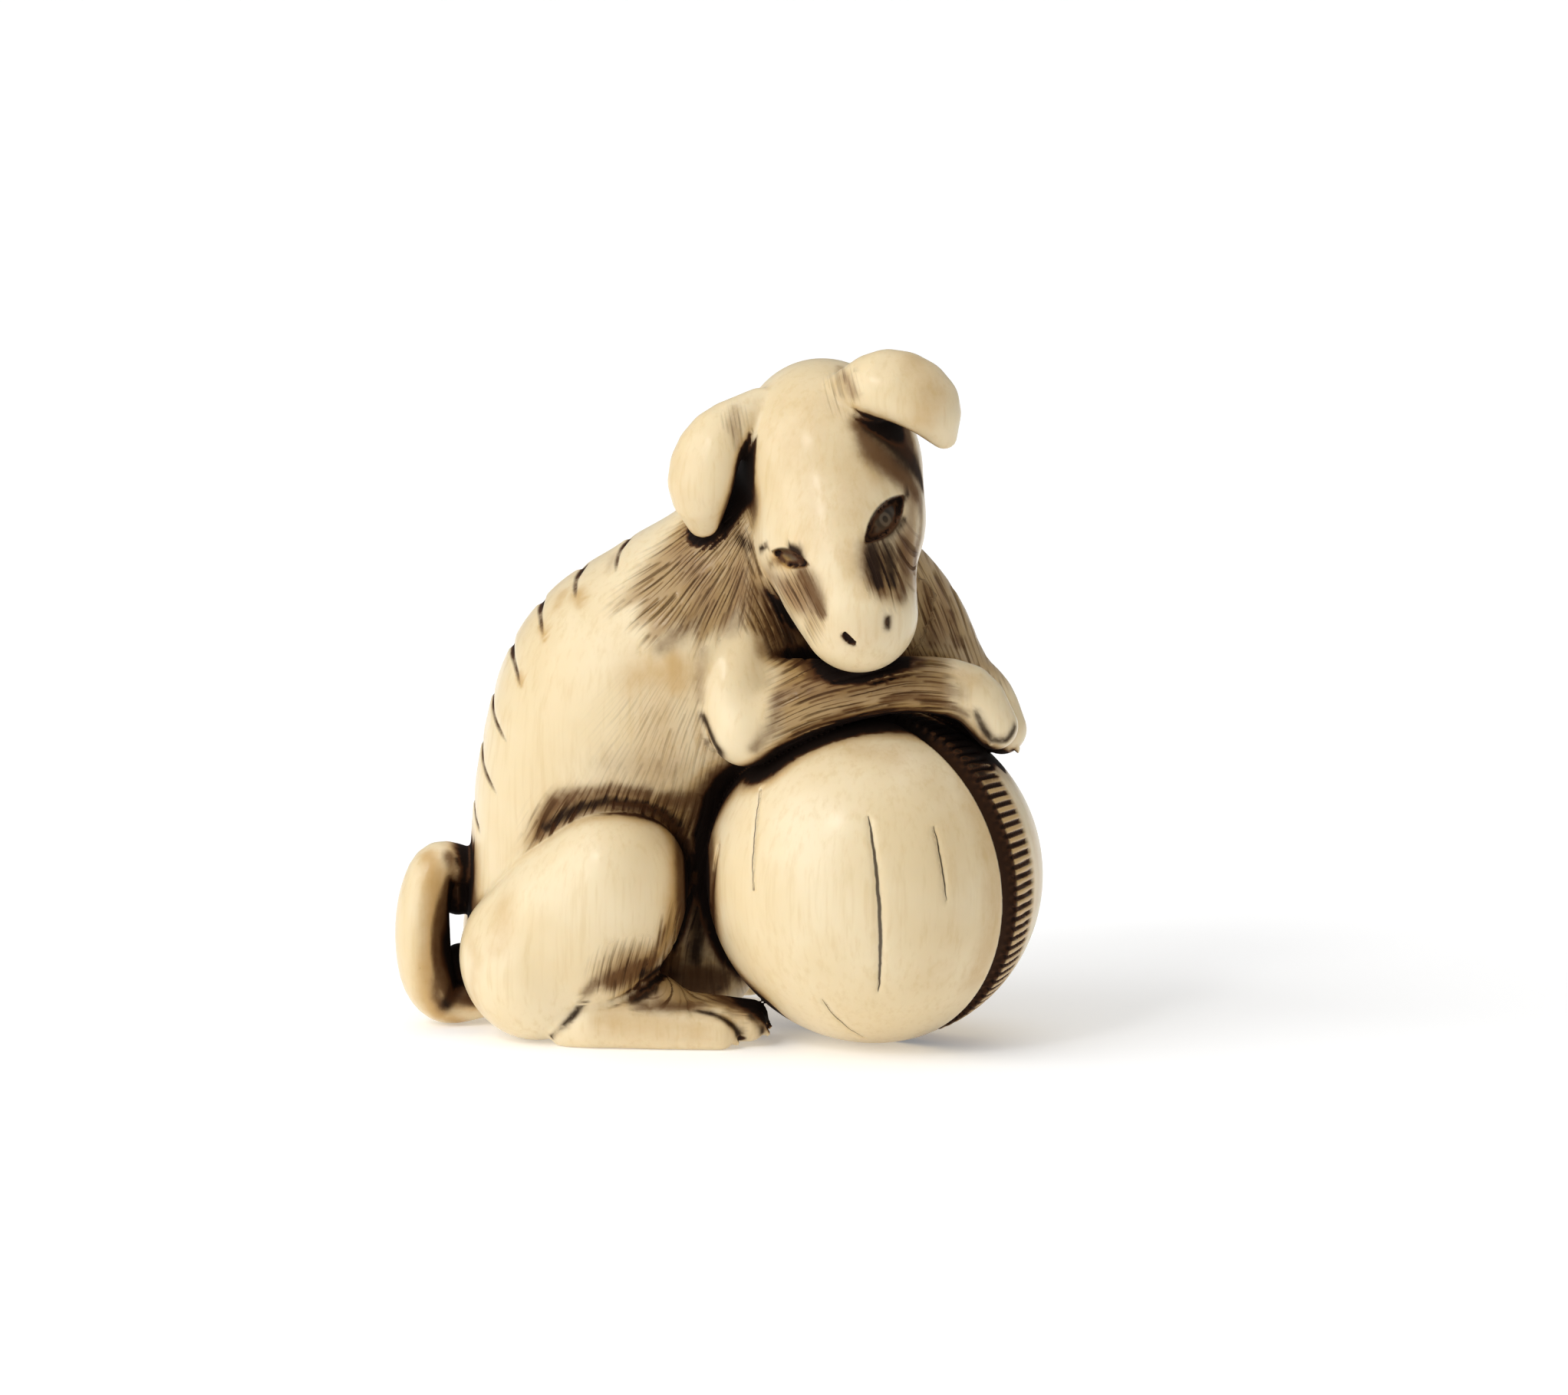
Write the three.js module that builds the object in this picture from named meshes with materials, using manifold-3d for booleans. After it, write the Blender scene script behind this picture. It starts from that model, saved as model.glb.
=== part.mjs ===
// Netsuke: a puppy sits behind a laced ball, lays both forelegs over it and rests its chin on
// them. The whole group is carved from one piece of ivory, so it is one solid.
// Millimetres. +X runs from the rump to the ball, -Y is the side with the face, +Z is up.
// The rounded forms are sweeps and ellipsoids blended into one another, as the carver left them.
import * as THREE from "three";
import { mergeVertices } from "three/addons/utils/BufferGeometryUtils.js";
import Module from "manifold-3d";

// Driving dimensions
const IVORY = { color: 0xecdcb2, roughness: 0.38, metalness: 0 };
const FACET = 1.12; // edge length of the facets
const MIDLINE = 0.8; // y of the plane that the two hind legs mirror in
const BALL_RADIUS = 9.14;
const BALL_CENTRE = [8.45, -4.2, 9.03];
const BALL_WAIST_AXIS = [-0.602, -0.795, -0.079]; // points at the near lobe
const WAIST_NOTCH = 0.6; // radius of the notch between the two lobes
const SKULL_CENTRE = [6.1, -2.6, 31.2];
const NOSE_DIRECTION = [0.2, -0.637, -0.745];
const BROW_DIRECTION = [-0.412, -0.736, 0.537]; // from the skull's middle out through the brow
const SKULL_RADII = [5.0, 6.1, 5.2]; // across, along the nose, up through the brow
const EYE_SOCKETS = [
  [-3.56, 6.14, 2.5],
  [2.82, 6.86, 4.09],
];
const SOCKET_RADII = [0.9, 1.2, 0.85];
const CORD_RING_RADIUS = 3.5; // the cord's channel bends round this circle
const CORD_HOLE_RADIUS = 1.3;
const CORD_CENTRE = [-4.2, 8.7, 16.5];
const CORD_TILT = 0.45; // radians that the pair of holes leans

// Sweeps: rows of x, y, z and radius along the middle of each form
const BACK = [
  [-9.1, 0.8, 4.3, 4.66],
  [-8.4, 0.8, 9.3, 5.16],
  [-6.7, 0.8, 13.9, 6.4],
  [-4.5, 0.6, 18.0, 7.35],
  [-1.8, 0.3, 19.8, 7.35],
];
const CHEST = [
  [-1.5, 0.6, 20.5, 6.2],
  [3.9, 1.2, 21.1, 5.6],
  [8.3, 1.8, 21.3, 4.6],
];
const BELLY = [
  [-2.8, 1.4, 14.7, 5.3],
  [-1.5, 1.8, 6.4, 4.7],
];
const ELBOW_FILL = [
  [1.0, -3.2, 18.2, 3.2],
  [4.2, -3.6, 16.6, 2.9],
];
const SEAT = [
  [-9.0, 0.8, 3.9, 3.5],
  [-1.2, 1.4, 3.7, 3.4],
];
const NECK = [
  [-0.3, -0.2, 22.7, 5.1],
  [5.6, -1.1, 29.8, 4.9],
];
const TAIL = [
  [-12.7, 0.8, 1.5, 1.2],
  [-14.8, 0.5, 1.2, 1.2],
  [-15.8, 0.2, 2.5, 1.45],
  [-16.1, 0.0, 4.9, 1.54],
  [-15.95, 0.1, 7.3, 1.4],
  [-15.2, 0.5, 8.8, 1.25],
  [-13.4, 1.0, 8.6, 1.0],
];
const TAIL_WEB_TOP = [
  [-14.3, 1.3, 7.9, 1.0],
  [-14.1, 1.5, 6.6, 1.0],
];
const TAIL_WEB_FOOT = [
  [-14.1, 1.5, 3.3, 1.0],
  [-14.2, 1.3, 1.4, 1.1],
];
// On the hind legs the second number is the distance out from the midline.
const THIGH = [
  [-10.0, 4.1, 4.6, 4.04],
  [-8.0, 5.0, 6.9, 4.1],
  [-5.7, 5.6, 8.9, 3.87],
];
const SHIN = [
  [-5.6, 5.7, 8.7, 3.8],
  [-5.8, 5.7, 7.0, 3.85],
  [-6.9, 5.7, 5.3, 3.5],
];
const HOCK = [
  [-9.8, 5.0, 3.8, 3.83],
  [-6.8, 5.6, 4.8, 3.4],
];
const INSTEP = [
  [-7.8, 6.5, 1.2, 1.58],
  [-3.6, 6.2, 2.0, 1.9],
];
const TOE_ROOT = [-6.7, 6.7, 1.3];
const TOE_RADIUS = 1.33;
const TOES = [
  { out: 7.9, tip: 0.0, height: 0.85 },
  { out: 6.95, tip: 1.65, height: 1.2 },
  { out: 5.95, tip: 1.75, height: 1.4 },
  { out: 5.0, tip: 0.75, height: 1.3 },
];
const NEAR_UPPER_ARM = [
  [1.1, -4.2, 21.7, 2.3],
  [0.8, -5.8, 19.4, 2.1],
  [1.4, -6.7, 17.4, 1.9],
];
const NEAR_FOREARM = [
  [1.8, -6.7, 17.4, 1.9],
  [6.0, -6.8, 19.2, 1.72],
  [10.1, -6.5, 19.8, 1.56],
  [13.4, -6.2, 19.3, 1.6],
  [14.9, -6.4, 17.5, 1.3],
];
const FOREARM_TOP = [
  [2.8, -5.6, 19.9, 1.25],
  [5.3, -6.0, 20.0, 1.15],
];
const PAW_FILL = [
  [10.8, -0.6, 18.2, 1.7],
  [13.9, -2.7, 16.9, 1.5],
];
const FAR_ARM = [
  [8.0, 2.4, 22.9, 4.2],
  [10.7, 1.2, 21.1, 3.1],
  [12.9, -1.4, 19.5, 1.95],
  [14.4, -3.4, 18.5, 1.65],
  [15.3, -4.2, 17.0, 1.4],
];
const LEFT_EAR = [
  [2.2, -3.4, 34.2, 1.3],
  [-0.1, -4.5, 32.7, 1.8],
  [-0.9, -5.0, 30.7, 1.95],
  [-0.75, -4.6, 28.5, 1.05],
];
const LEFT_EAR_FACE = [-0.45, -0.87, 0.24];
const RIGHT_EAR = [
  [7.1, -4.7, 35.3, 1.45],
  [9.3, -5.6, 35.9, 2.1],
  [11.1, -5.9, 35.1, 1.95],
  [12.1, -5.8, 33.2, 0.8],
];
const RIGHT_EAR_FACE = [0.25, -0.78, 0.53];
const EAR_FLATTENING = 1.55;
const BODY_FLATTENING = 0.97;
const TAIL_WIDENING = 0.75;

// Joins two distances with a fillet of about the given size, or cuts the second from the first.
function join(a, b, fillet) {
  const h = Math.max(fillet - Math.abs(a - b), 0) / fillet;
  return Math.min(a, b) - h * h * fillet * 0.25;
}
function cut(a, b, fillet) {
  return -join(-a, b, fillet);
}

// Distance to a sweep of spheres along a smooth curve through the rows. A face direction and a
// factor flatten the section across that direction.
function sweep(rows, stepsPerSpan, face, factor) {
  const normal = face ? new THREE.Vector3(...face).normalize() : null;
  const origin = new THREE.Vector3(...rows[0]);
  const squash = (p) =>
    normal ? p.addScaledVector(normal, (factor - 1) * p.clone().sub(origin).dot(normal)) : p;
  const path = (list) => new THREE.CatmullRomCurve3(list, false, "catmullrom", 0.5);
  const middle = path(rows.map(([x, y, z]) => new THREE.Vector3(x, y, z)));
  const radius = path(rows.map(([, , , r]) => new THREE.Vector3(r, 0, 0)));
  const steps = stepsPerSpan * (rows.length - 1);
  const links = [];
  for (let i = 0; i < steps; i++) {
    const a = squash(middle.getPoint(i / steps));
    const b = squash(middle.getPoint((i + 1) / steps));
    const ra = radius.getPoint(i / steps).x;
    const rb = radius.getPoint((i + 1) / steps).x;
    const axis = b.clone().sub(a);
    const length = axis.length();
    const slope = (ra - rb) / Math.sqrt(length * length - (ra - rb) ** 2);
    links.push({ a, axis: axis.divideScalar(length), length, ra, rb, slope });
  }
  const q = new THREE.Vector3();
  return (p) => {
    q.copy(p);
    squash(q);
    let nearest = Infinity;
    for (const { a, axis, length, ra, rb, slope } of links) {
      const x = q.x - a.x;
      const y = q.y - a.y;
      const z = q.z - a.z;
      const along = x * axis.x + y * axis.y + z * axis.z;
      const off = Math.sqrt(Math.max(x * x + y * y + z * z - along * along, 0));
      const at = Math.min(Math.max(along - off * slope, 0), length);
      nearest = Math.min(nearest, Math.hypot(off, along - at) - ra - ((rb - ra) * at) / length);
    }
    return nearest;
  };
}

// Distance to an ellipsoid whose radii lie along the frame's x, y and z.
function ellipsoid(p, [cx, cy, cz], [rx, ry, rz]) {
  const x = p.x - cx;
  const y = p.y - cy;
  const z = p.z - cz;
  const near = Math.hypot(x / rx, y / ry, z / rz);
  const far = Math.hypot(x / (rx * rx), y / (ry * ry), z / (rz * rz));
  return far > 1e-9 ? (near * (near - 1)) / far : -Math.min(rx, ry, rz);
}

// The hind legs mirror each other: a row's second number runs outwards from the midline.
const outward = (rows, side) => rows.map(([x, y, z, r]) => [x, MIDLINE + side * y, z, r]);

function hindLeg(side) {
  const thigh = sweep(outward(THIGH, side), 3);
  const shin = sweep(outward(SHIN, side), 3);
  const hock = sweep(outward(HOCK, side), 2);
  const instep = sweep(outward(INSTEP, side), 1);
  const toes = TOES.map(({ out, tip, height }) => {
    const knuckle = [-3.2, 0.55 * out + 3.2, height + 0.3, TOE_RADIUS];
    const root = [TOE_ROOT[0], 0.4 * out + 4.1, TOE_ROOT[2], TOE_RADIUS];
    return sweep(outward([root, knuckle, [tip, out, height, 0.75 * TOE_RADIUS]], side), 2);
  });
  return (p) => {
    const foot = toes.reduce((d, toe) => join(d, toe(p), 0.2), Infinity);
    const leg = join(join(thigh(p), shin(p), 1), hock(p), 0.8);
    return join(leg, join(foot, instep(p), 0.7), 0.3);
  };
}

function trunk() {
  const back = sweep(BACK, 4, [0, 1, 0], BODY_FLATTENING);
  const chest = sweep(CHEST, 2);
  const belly = sweep(BELLY, 1);
  const neck = sweep(NECK, 1);
  const elbow = sweep(ELBOW_FILL, 1);
  const seat = sweep(SEAT, 1);
  return (p) => {
    const front = join(join(back(p), chest(p), 1.5), neck(p), 2);
    const middle = join(join(front, belly(p), 1.5), elbow(p), 1);
    return join(middle, seat(p), 1.5);
  };
}

// The tail curls up against the rump and leaves a slit between two low webs.
function tail() {
  const curl = sweep(TAIL, 4, [0, 1, 0], TAIL_WIDENING);
  const top = sweep(TAIL_WEB_TOP, 1);
  const foot = sweep(TAIL_WEB_FOOT, 1);
  return (p) => join(curl(p), Math.min(top(p), foot(p)), 0.3);
}

function head() {
  const nose = new THREE.Vector3(...NOSE_DIRECTION).normalize();
  const brow = new THREE.Vector3(...BROW_DIRECTION);
  brow.addScaledVector(nose, -brow.dot(nose)).normalize();
  const across = new THREE.Vector3().crossVectors(nose, brow);
  const centre = new THREE.Vector3(...SKULL_CENTRE);
  const muzzle = sweep(
    [
      [0.5, 4.6, 0.1, 4.3],
      [0.6, 7.0, 0.1, 3.78],
      [0.5, 9.4, -0.1, 3.2],
    ],
    2,
  );
  const v = new THREE.Vector3();
  return (p) => {
    v.copy(p).sub(centre);
    const q = new THREE.Vector3(v.dot(across), v.dot(nose), v.dot(brow));
    const skull = ellipsoid(q, [0.1, 0, 0], SKULL_RADII);
    const cheeks = ellipsoid(q, [0.85, 3.4, -0.9], [4.9, 3.9, 4.0]);
    let d = join(join(skull, cheeks, 1), muzzle(q), 1.1);
    for (const socket of EYE_SOCKETS) d = cut(d, ellipsoid(q, socket, SOCKET_RADII), 0.6);
    return d;
  };
}

// The puppy without its ball. Negative inside, cut flat at z = 0 where it sits.
function puppy() {
  const body = trunk();
  const legs = [hindLeg(-1), hindLeg(1)];
  const curl = tail();
  const farArm = sweep(FAR_ARM, 3);
  const upperArm = sweep(NEAR_UPPER_ARM, 3);
  const forearm = sweep(NEAR_FOREARM, 3);
  const forearmTop = sweep(FOREARM_TOP, 1);
  const pawFill = sweep(PAW_FILL, 1);
  const face = head();
  const ears = [
    sweep(LEFT_EAR, 3, LEFT_EAR_FACE, EAR_FLATTENING),
    sweep(RIGHT_EAR, 3, RIGHT_EAR_FACE, EAR_FLATTENING),
  ];
  return (p) => {
    let d = body(p);
    for (const leg of legs) d = join(d, leg(p), 0.5);
    d = join(d, curl(p), 0.3);
    d = join(join(d, farArm(p), 1.4), pawFill(p), 0.4);
    const bend = join(upperArm(p), join(forearm(p), forearmTop(p), 0.5), 0.7);
    d = join(d, bend, 0.3);
    d = join(d, face(p), 0.35);
    for (const ear of ears) d = join(d, ear(p), 0.3);
    return Math.max(d, -p.z);
  };
}

// For each of the 256 ways that a cube's corners can lie inside or outside, a label for the
// connected patch of corners that each corner belongs to. Corner bits are 1 for x, 2 for y and
// 4 for z. Inside corners touch along edges, outside corners also across the diagonal of a face.
function cornerPatches() {
  const bits = [0, 1, 1, 2, 1, 2, 2, 3];
  const table = [];
  for (let pattern = 0; pattern < 256; pattern++) {
    const label = [0, 1, 2, 3, 4, 5, 6, 7];
    for (let pass = 0; pass < 8; pass++)
      for (let a = 0; a < 8; a++)
        for (let b = 0; b < 8; b++) {
          const inside = (pattern >> a) & 1;
          const reach = inside ? 1 : 2;
          if (inside === ((pattern >> b) & 1) && bits[a ^ b] <= reach)
            label[a] = label[b] = Math.min(label[a], label[b]);
        }
    table.push(label);
  }
  return table;
}

// Facets of the surface where the field is zero: one vertex for each patch of surface in each
// cell of a grid, one quad for each grid edge that the surface crosses.
function facets(field, low, high, cell) {
  const count = [0, 1, 2].map((k) => Math.ceil((high[k] - low[k]) / cell) + 1);
  const stride = [1, count[0], count[0] * count[1]];
  const place = (i, j, k) => i + j * stride[1] + k * stride[2];
  const values = new Float64Array(count[0] * count[1] * count[2]);
  const p = new THREE.Vector3();
  for (let k = 0; k < count[2]; k++)
    for (let j = 0; j < count[1]; j++)
      for (let i = 0; i < count[0]; i++) {
        p.set(low[0] + i * cell, low[1] + j * cell, low[2] + k * cell);
        values[place(i, j, k)] = field(p);
      }

  const patches = cornerPatches();
  const corner = (index, bit) =>
    index + (bit & 1) * stride[0] + ((bit >> 1) & 1) * stride[1] + ((bit >> 2) & 1) * stride[2];
  const patternOf = (index) => {
    let pattern = 0;
    for (let bit = 0; bit < 8; bit++) if (values[corner(index, bit)] < 0) pattern |= 1 << bit;
    return pattern;
  };
  const sums = [];
  const vertexOf = new Map();
  const vertex = (index, insideCorner, outsideCorner, crossing) => {
    const label = patches[patternOf(index)];
    const key = index * 64 + label[insideCorner] * 8 + label[outsideCorner];
    if (!vertexOf.has(key)) {
      vertexOf.set(key, sums.length);
      sums.push({ point: new THREE.Vector3(), times: 0 });
    }
    const entry = sums[vertexOf.get(key)];
    entry.point.add(crossing);
    entry.times += 1;
    return vertexOf.get(key);
  };

  const quads = [];
  for (let k = 1; k < count[2] - 1; k++)
    for (let j = 1; j < count[1] - 1; j++)
      for (let i = 1; i < count[0] - 1; i++)
        for (let axis = 0; axis < 3; axis++) {
          const start = place(i, j, k);
          const end = start + stride[axis];
          const inside = values[start] < 0;
          if (inside === values[end] < 0) continue;
          const t = values[start] / (values[start] - values[end]);
          const crossing = new THREE.Vector3(
            low[0] + i * cell,
            low[1] + j * cell,
            low[2] + k * cell,
          );
          crossing.setComponent(axis, crossing.getComponent(axis) + t * cell);
          const u = (axis + 1) % 3;
          const v = (axis + 2) % 3;
          const ring = [
            [0, 0],
            [1, 0],
            [1, 1],
            [0, 1],
          ].map(([du, dv]) => {
            const near = (du << u) | (dv << v);
            const far = near | (1 << axis);
            const cellIndex = start - du * stride[u] - dv * stride[v];
            return inside
              ? vertex(cellIndex, near, far, crossing)
              : vertex(cellIndex, far, near, crossing);
          });
          quads.push(inside ? ring : ring.reverse());
        }
  return { points: sums.map(({ point, times }) => point.divideScalar(times)), quads };
}

// Moves a point on to the surface, by at most a third of a cell.
function settle(field, p, cell) {
  const step = 0.1;
  const start = p.clone();
  for (let pass = 0; pass < 4; pass++) {
    const value = field(p);
    const slope = new THREE.Vector3();
    for (let k = 0; k < 3; k++) {
      const ahead = p.clone();
      const behind = p.clone();
      ahead.setComponent(k, ahead.getComponent(k) + step);
      behind.setComponent(k, behind.getComponent(k) - step);
      slope.setComponent(k, (field(ahead) - field(behind)) / (2 * step));
    }
    p.addScaledVector(slope, -value / Math.max(slope.lengthSq(), 0.4));
  }
  if (p.distanceTo(start) > cell / 3) p.sub(start).setLength(cell / 3).add(start);
}

// Evens out the facets: each point moves towards the middle of its neighbours, then back on to
// the surface.
function relax(field, points, quads, cell) {
  const around = points.map(() => new Set());
  for (const quad of quads)
    quad.forEach((a, n) => {
      around[a].add(quad[(n + 1) % 4]);
      around[a].add(quad[(n + 3) % 4]);
    });
  const middles = points.map((p, n) => {
    const middle = new THREE.Vector3();
    for (const neighbour of around[n]) middle.add(points[neighbour]);
    return middle.divideScalar(around[n].size);
  });
  points.forEach((p, n) => {
    p.lerp(middles[n], 0.5);
    settle(field, p, cell);
  });
}

function facetedGeometry(field, cell) {
  const low = [-19, -15, -1.5 * cell];
  const { points, quads } = facets(field, low, [19, 11, 41], cell);
  for (const p of points) settle(field, p, cell);
  for (let round = 0; round < 4; round++) relax(field, points, quads, cell);
  for (const p of points) if (Math.abs(p.z) < 0.05) p.z = 0;
  const index = [];
  for (const [a, b, c, d] of quads) {
    const short = points[a].distanceTo(points[c]) < points[b].distanceTo(points[d]);
    index.push(...(short ? [a, b, c, a, c, d] : [b, c, d, b, d, a]));
  }
  const geometry = new THREE.BufferGeometry().setFromPoints(points);
  geometry.setIndex(index);
  return geometry;
}

// Solids for the cord's channel: a ring that dips into the flank, and a wider mouth for the knot.
function cordChannel() {
  const ring = new THREE.TorusGeometry(CORD_RING_RADIUS, CORD_HOLE_RADIUS, 12, 28);
  const mouth = new THREE.SphereGeometry(CORD_HOLE_RADIUS + 0.35, 16, 12);
  mouth.translate(CORD_RING_RADIUS, 0, 0);
  return [ring, mouth].map((solid) => {
    solid.rotateY(CORD_TILT);
    return solid.translate(...CORD_CENTRE);
  });
}

const wasm = await Module();
wasm.setup();

function solidOf(geometry) {
  const bare = new THREE.BufferGeometry().setAttribute("position", geometry.attributes.position);
  bare.setIndex(geometry.index);
  const merged = mergeVertices(bare, 1e-4);
  return new wasm.Manifold(
    new wasm.Mesh({
      numProp: 3,
      vertProperties: merged.attributes.position.array,
      triVerts: new Uint32Array(merged.index.array),
    }),
  );
}

function geometryOf(solid) {
  const { vertProperties, triVerts } = solid.getMesh();
  const geometry = new THREE.BufferGeometry();
  geometry.setAttribute("position", new THREE.BufferAttribute(vertProperties, 3));
  geometry.setIndex(new THREE.BufferAttribute(triVerts, 1));
  return geometry;
}

// Two lobes meet at a laced waist. The ball's underside is worn flat where it stands.
function lacedBall() {
  const axis = new THREE.Vector3(...BALL_WAIST_AXIS).normalize();
  const globe = new THREE.IcosahedronGeometry(BALL_RADIUS, 8);
  const notch = new THREE.TorusGeometry(BALL_RADIUS + 0.05, WAIST_NOTCH, 10, 60);
  const turn = new THREE.Quaternion().setFromUnitVectors(new THREE.Vector3(0, 0, 1), axis);
  notch.applyQuaternion(turn);
  for (const form of [globe, notch]) form.translate(...BALL_CENTRE);
  const table = new THREE.BoxGeometry(60, 60, 10);
  table.translate(0, 0, -5);
  return solidOf(globe).subtract(solidOf(notch)).subtract(solidOf(table));
}

let body = solidOf(facetedGeometry(puppy(), FACET)).add(lacedBall());
for (const cutter of cordChannel()) body = body.subtract(solidOf(cutter));

const geometry = geometryOf(body);
geometry.computeBoundingBox();
const middle = geometry.boundingBox.getCenter(new THREE.Vector3());
geometry.translate(-middle.x, -middle.y, 0);
geometry.computeVertexNormals();

const carvedIvory = new THREE.Mesh(geometry, new THREE.MeshStandardMaterial(IVORY));
carvedIvory.name = "puppy_on_ball";

const netsuke = new THREE.Group();
netsuke.add(carvedIvory);
export default netsuke;
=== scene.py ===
"""Looks of the netsuke: a puppy that rests its chin on its forelegs, laid over a laced ball.

One piece of ivory, carved, inked and polished. The forms are blended distances in
millimetres, cut into one fine mesh, then engraved, stained, given painted shade and finished.
"""

import math

import bpy
import numpy as np
import openvdb
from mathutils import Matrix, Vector


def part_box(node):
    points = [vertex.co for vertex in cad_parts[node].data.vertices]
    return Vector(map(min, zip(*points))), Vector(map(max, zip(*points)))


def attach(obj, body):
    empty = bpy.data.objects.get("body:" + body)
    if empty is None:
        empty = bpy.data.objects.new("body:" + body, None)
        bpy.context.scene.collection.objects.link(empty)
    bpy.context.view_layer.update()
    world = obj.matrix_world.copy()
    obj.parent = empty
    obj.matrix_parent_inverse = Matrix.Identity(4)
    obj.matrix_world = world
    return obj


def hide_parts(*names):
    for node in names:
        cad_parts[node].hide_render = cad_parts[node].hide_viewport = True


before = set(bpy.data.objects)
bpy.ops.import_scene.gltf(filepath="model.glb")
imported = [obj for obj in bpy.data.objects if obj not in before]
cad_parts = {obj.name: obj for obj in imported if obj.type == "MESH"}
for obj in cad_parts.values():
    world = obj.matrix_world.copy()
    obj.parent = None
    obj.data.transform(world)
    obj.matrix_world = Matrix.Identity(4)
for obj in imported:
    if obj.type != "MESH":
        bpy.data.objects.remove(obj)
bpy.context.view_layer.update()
MM = 0.001


# ---- Camera --------------------------------------------------------------------------------
# A long lens, a little above the table and square to the side that the face looks out of.
# Its aim lies right of the carving's middle, so that more table shows on that side.
VIEW_WIDTH = 85.07  # mm across the view at the carving
VIEW_TILT = math.radians(9)
SENSOR, LENS = 36, 300
CARVING_MIDDLE = np.array((-0.033, -1.409, 0))  # of the box, in the frame that the carver works in
box_low, box_high = (np.array(corner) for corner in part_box("puppy_on_ball"))
TO_FRAME = (box_low + box_high) / 2 * (1, 1, 0) / MM - CARVING_MIDDLE

lens = bpy.data.cameras.new("long_lens")
lens.sensor_width, lens.lens = SENSOR, LENS
camera = bpy.data.objects.new("camera", lens)
bpy.context.scene.collection.objects.link(camera)
aim = (np.array((3.56, 0, 18.06)) + TO_FRAME) * MM
stand_off = VIEW_WIDTH * MM * LENS / SENSOR
camera.location = aim + stand_off * np.array((0, -math.cos(VIEW_TILT), math.sin(VIEW_TILT)))
camera.rotation_euler = (math.pi / 2 - VIEW_TILT, 0, 0)
lens.clip_start, lens.clip_end = 0.01, 20
bpy.context.scene.camera = camera
bpy.context.scene.view_settings.view_transform = "Standard"


# ---- Trunk ---------------------------------------------------------------------------------
# The arched back, chest, belly and neck of the sitting puppy, cut from the middle of the
# block. Each form is a row of spheres that grow and shrink along a smooth line.
FAR = 2.6  # mm beyond which a form no longer matters to its neighbours


def join(a, b, fillet):
    """Two forms run together with a hollow fillet of about this size."""
    h = np.maximum(fillet - np.abs(a - b), 0) / fillet
    return np.minimum(a, b) - h * h * fillet / 4


def cut(a, b, fillet):
    """The first form with the second taken out of it."""
    return -join(-a, b, fillet)


def unit(v):
    return np.array(v, float) / np.linalg.norm(v)


def smooth_line(rows, steps):
    """Points along the smooth curve through rows of x, y, z and radius."""
    rows = np.array(rows, float)
    ends = np.vstack([2 * rows[0] - rows[1], rows, 2 * rows[-1] - rows[-2]])
    line = []
    for a, b, c, d in zip(ends, ends[1:], ends[2:], ends[3:]):
        for t in np.arange(steps) / steps:
            bend = t * t * (a - 2.5 * b + 2 * c - 0.5 * d)
            line.append(b + 0.5 * t * (c - a) + bend + t**3 * (1.5 * (b - c) + 0.5 * (d - a)))
    return np.array(line + [rows[-1]])


def cone_distance(q, a, b):
    """Distance to the rounded cone between two spheres, given as x, y, z and radius."""
    axis = b[:3] - a[:3]
    length = np.linalg.norm(axis)
    shrink = a[3] - b[3]
    v = q - a[:3]
    y = v @ (axis / length)
    x = np.sqrt(np.maximum(np.einsum("ij,ij->i", v, v) - y * y, 0))
    at = np.clip(y - x * shrink / math.sqrt(length**2 - shrink**2), 0, length)
    return np.hypot(x, y - at) - a[3] + shrink * at / length


def sweep(rows, steps=1, face=None, factor=1.0):
    """A swept form. Face and factor flatten its section across that direction."""
    line = smooth_line(rows, steps) if steps > 1 else np.array(rows, float)
    low = (line[:, :3] - line[:, 3:]).min(0) - FAR
    high = (line[:, :3] + line[:, 3:]).max(0) + FAR
    start = line[0, :3].copy()
    normal = None if face is None else unit(face)

    def squash(q):
        return q + (factor - 1) * ((q - start) @ normal)[:, None] * normal

    if normal is not None:
        line[:, :3] = squash(line[:, :3])

    def distance(p):
        near = np.flatnonzero(((p > low) & (p < high)).all(1))
        out = np.full(len(p), FAR)
        q = p[near] if normal is None else squash(p[near])
        nearest = np.full(len(q), 99.0)
        for a, b in zip(line, line[1:]):
            nearest = np.minimum(nearest, cone_distance(q, a, b))
        out[near] = nearest
        return out

    return distance


back = sweep(
    [
        (-9.1, 0.8, 4.3, 4.66),
        (-8.4, 0.8, 9.3, 5.16),
        (-6.7, 0.8, 13.9, 6.4),
        (-4.5, 0.6, 18.0, 7.35),
        (-1.8, 0.3, 19.8, 7.35),
    ],
    4,
    (0, 1, 0),
    0.97,
)
chest = sweep([(-1.5, 0.6, 20.5, 6.2), (3.9, 1.2, 21.1, 5.6), (8.3, 1.8, 21.3, 4.6)], 2)
belly = sweep([(-2.8, 1.4, 14.7, 5.3), (-1.5, 1.8, 6.4, 4.7)])
elbow_fill = sweep([(1.0, -3.2, 18.2, 3.2), (4.2, -3.6, 16.6, 2.9)])
seat = sweep([(-9.0, 0.8, 3.9, 3.5), (-1.2, 1.4, 3.7, 3.4)])
neck = sweep([(-0.3, -0.2, 22.7, 5.1), (5.6, -1.1, 29.8, 4.9)])


def trunk(p):
    front = join(join(back(p), chest(p), 1.5), neck(p), 2)
    return join(join(join(front, belly(p), 1.5), elbow_fill(p), 1), seat(p), 1.5)


def patch(p, middle, radii):
    """A soft-edged place: 1 in its middle, 0 from its edge on."""
    return np.clip(1.5 * (1 - np.linalg.norm((p - np.array(middle)) / radii, axis=1)), 0, 1)


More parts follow.
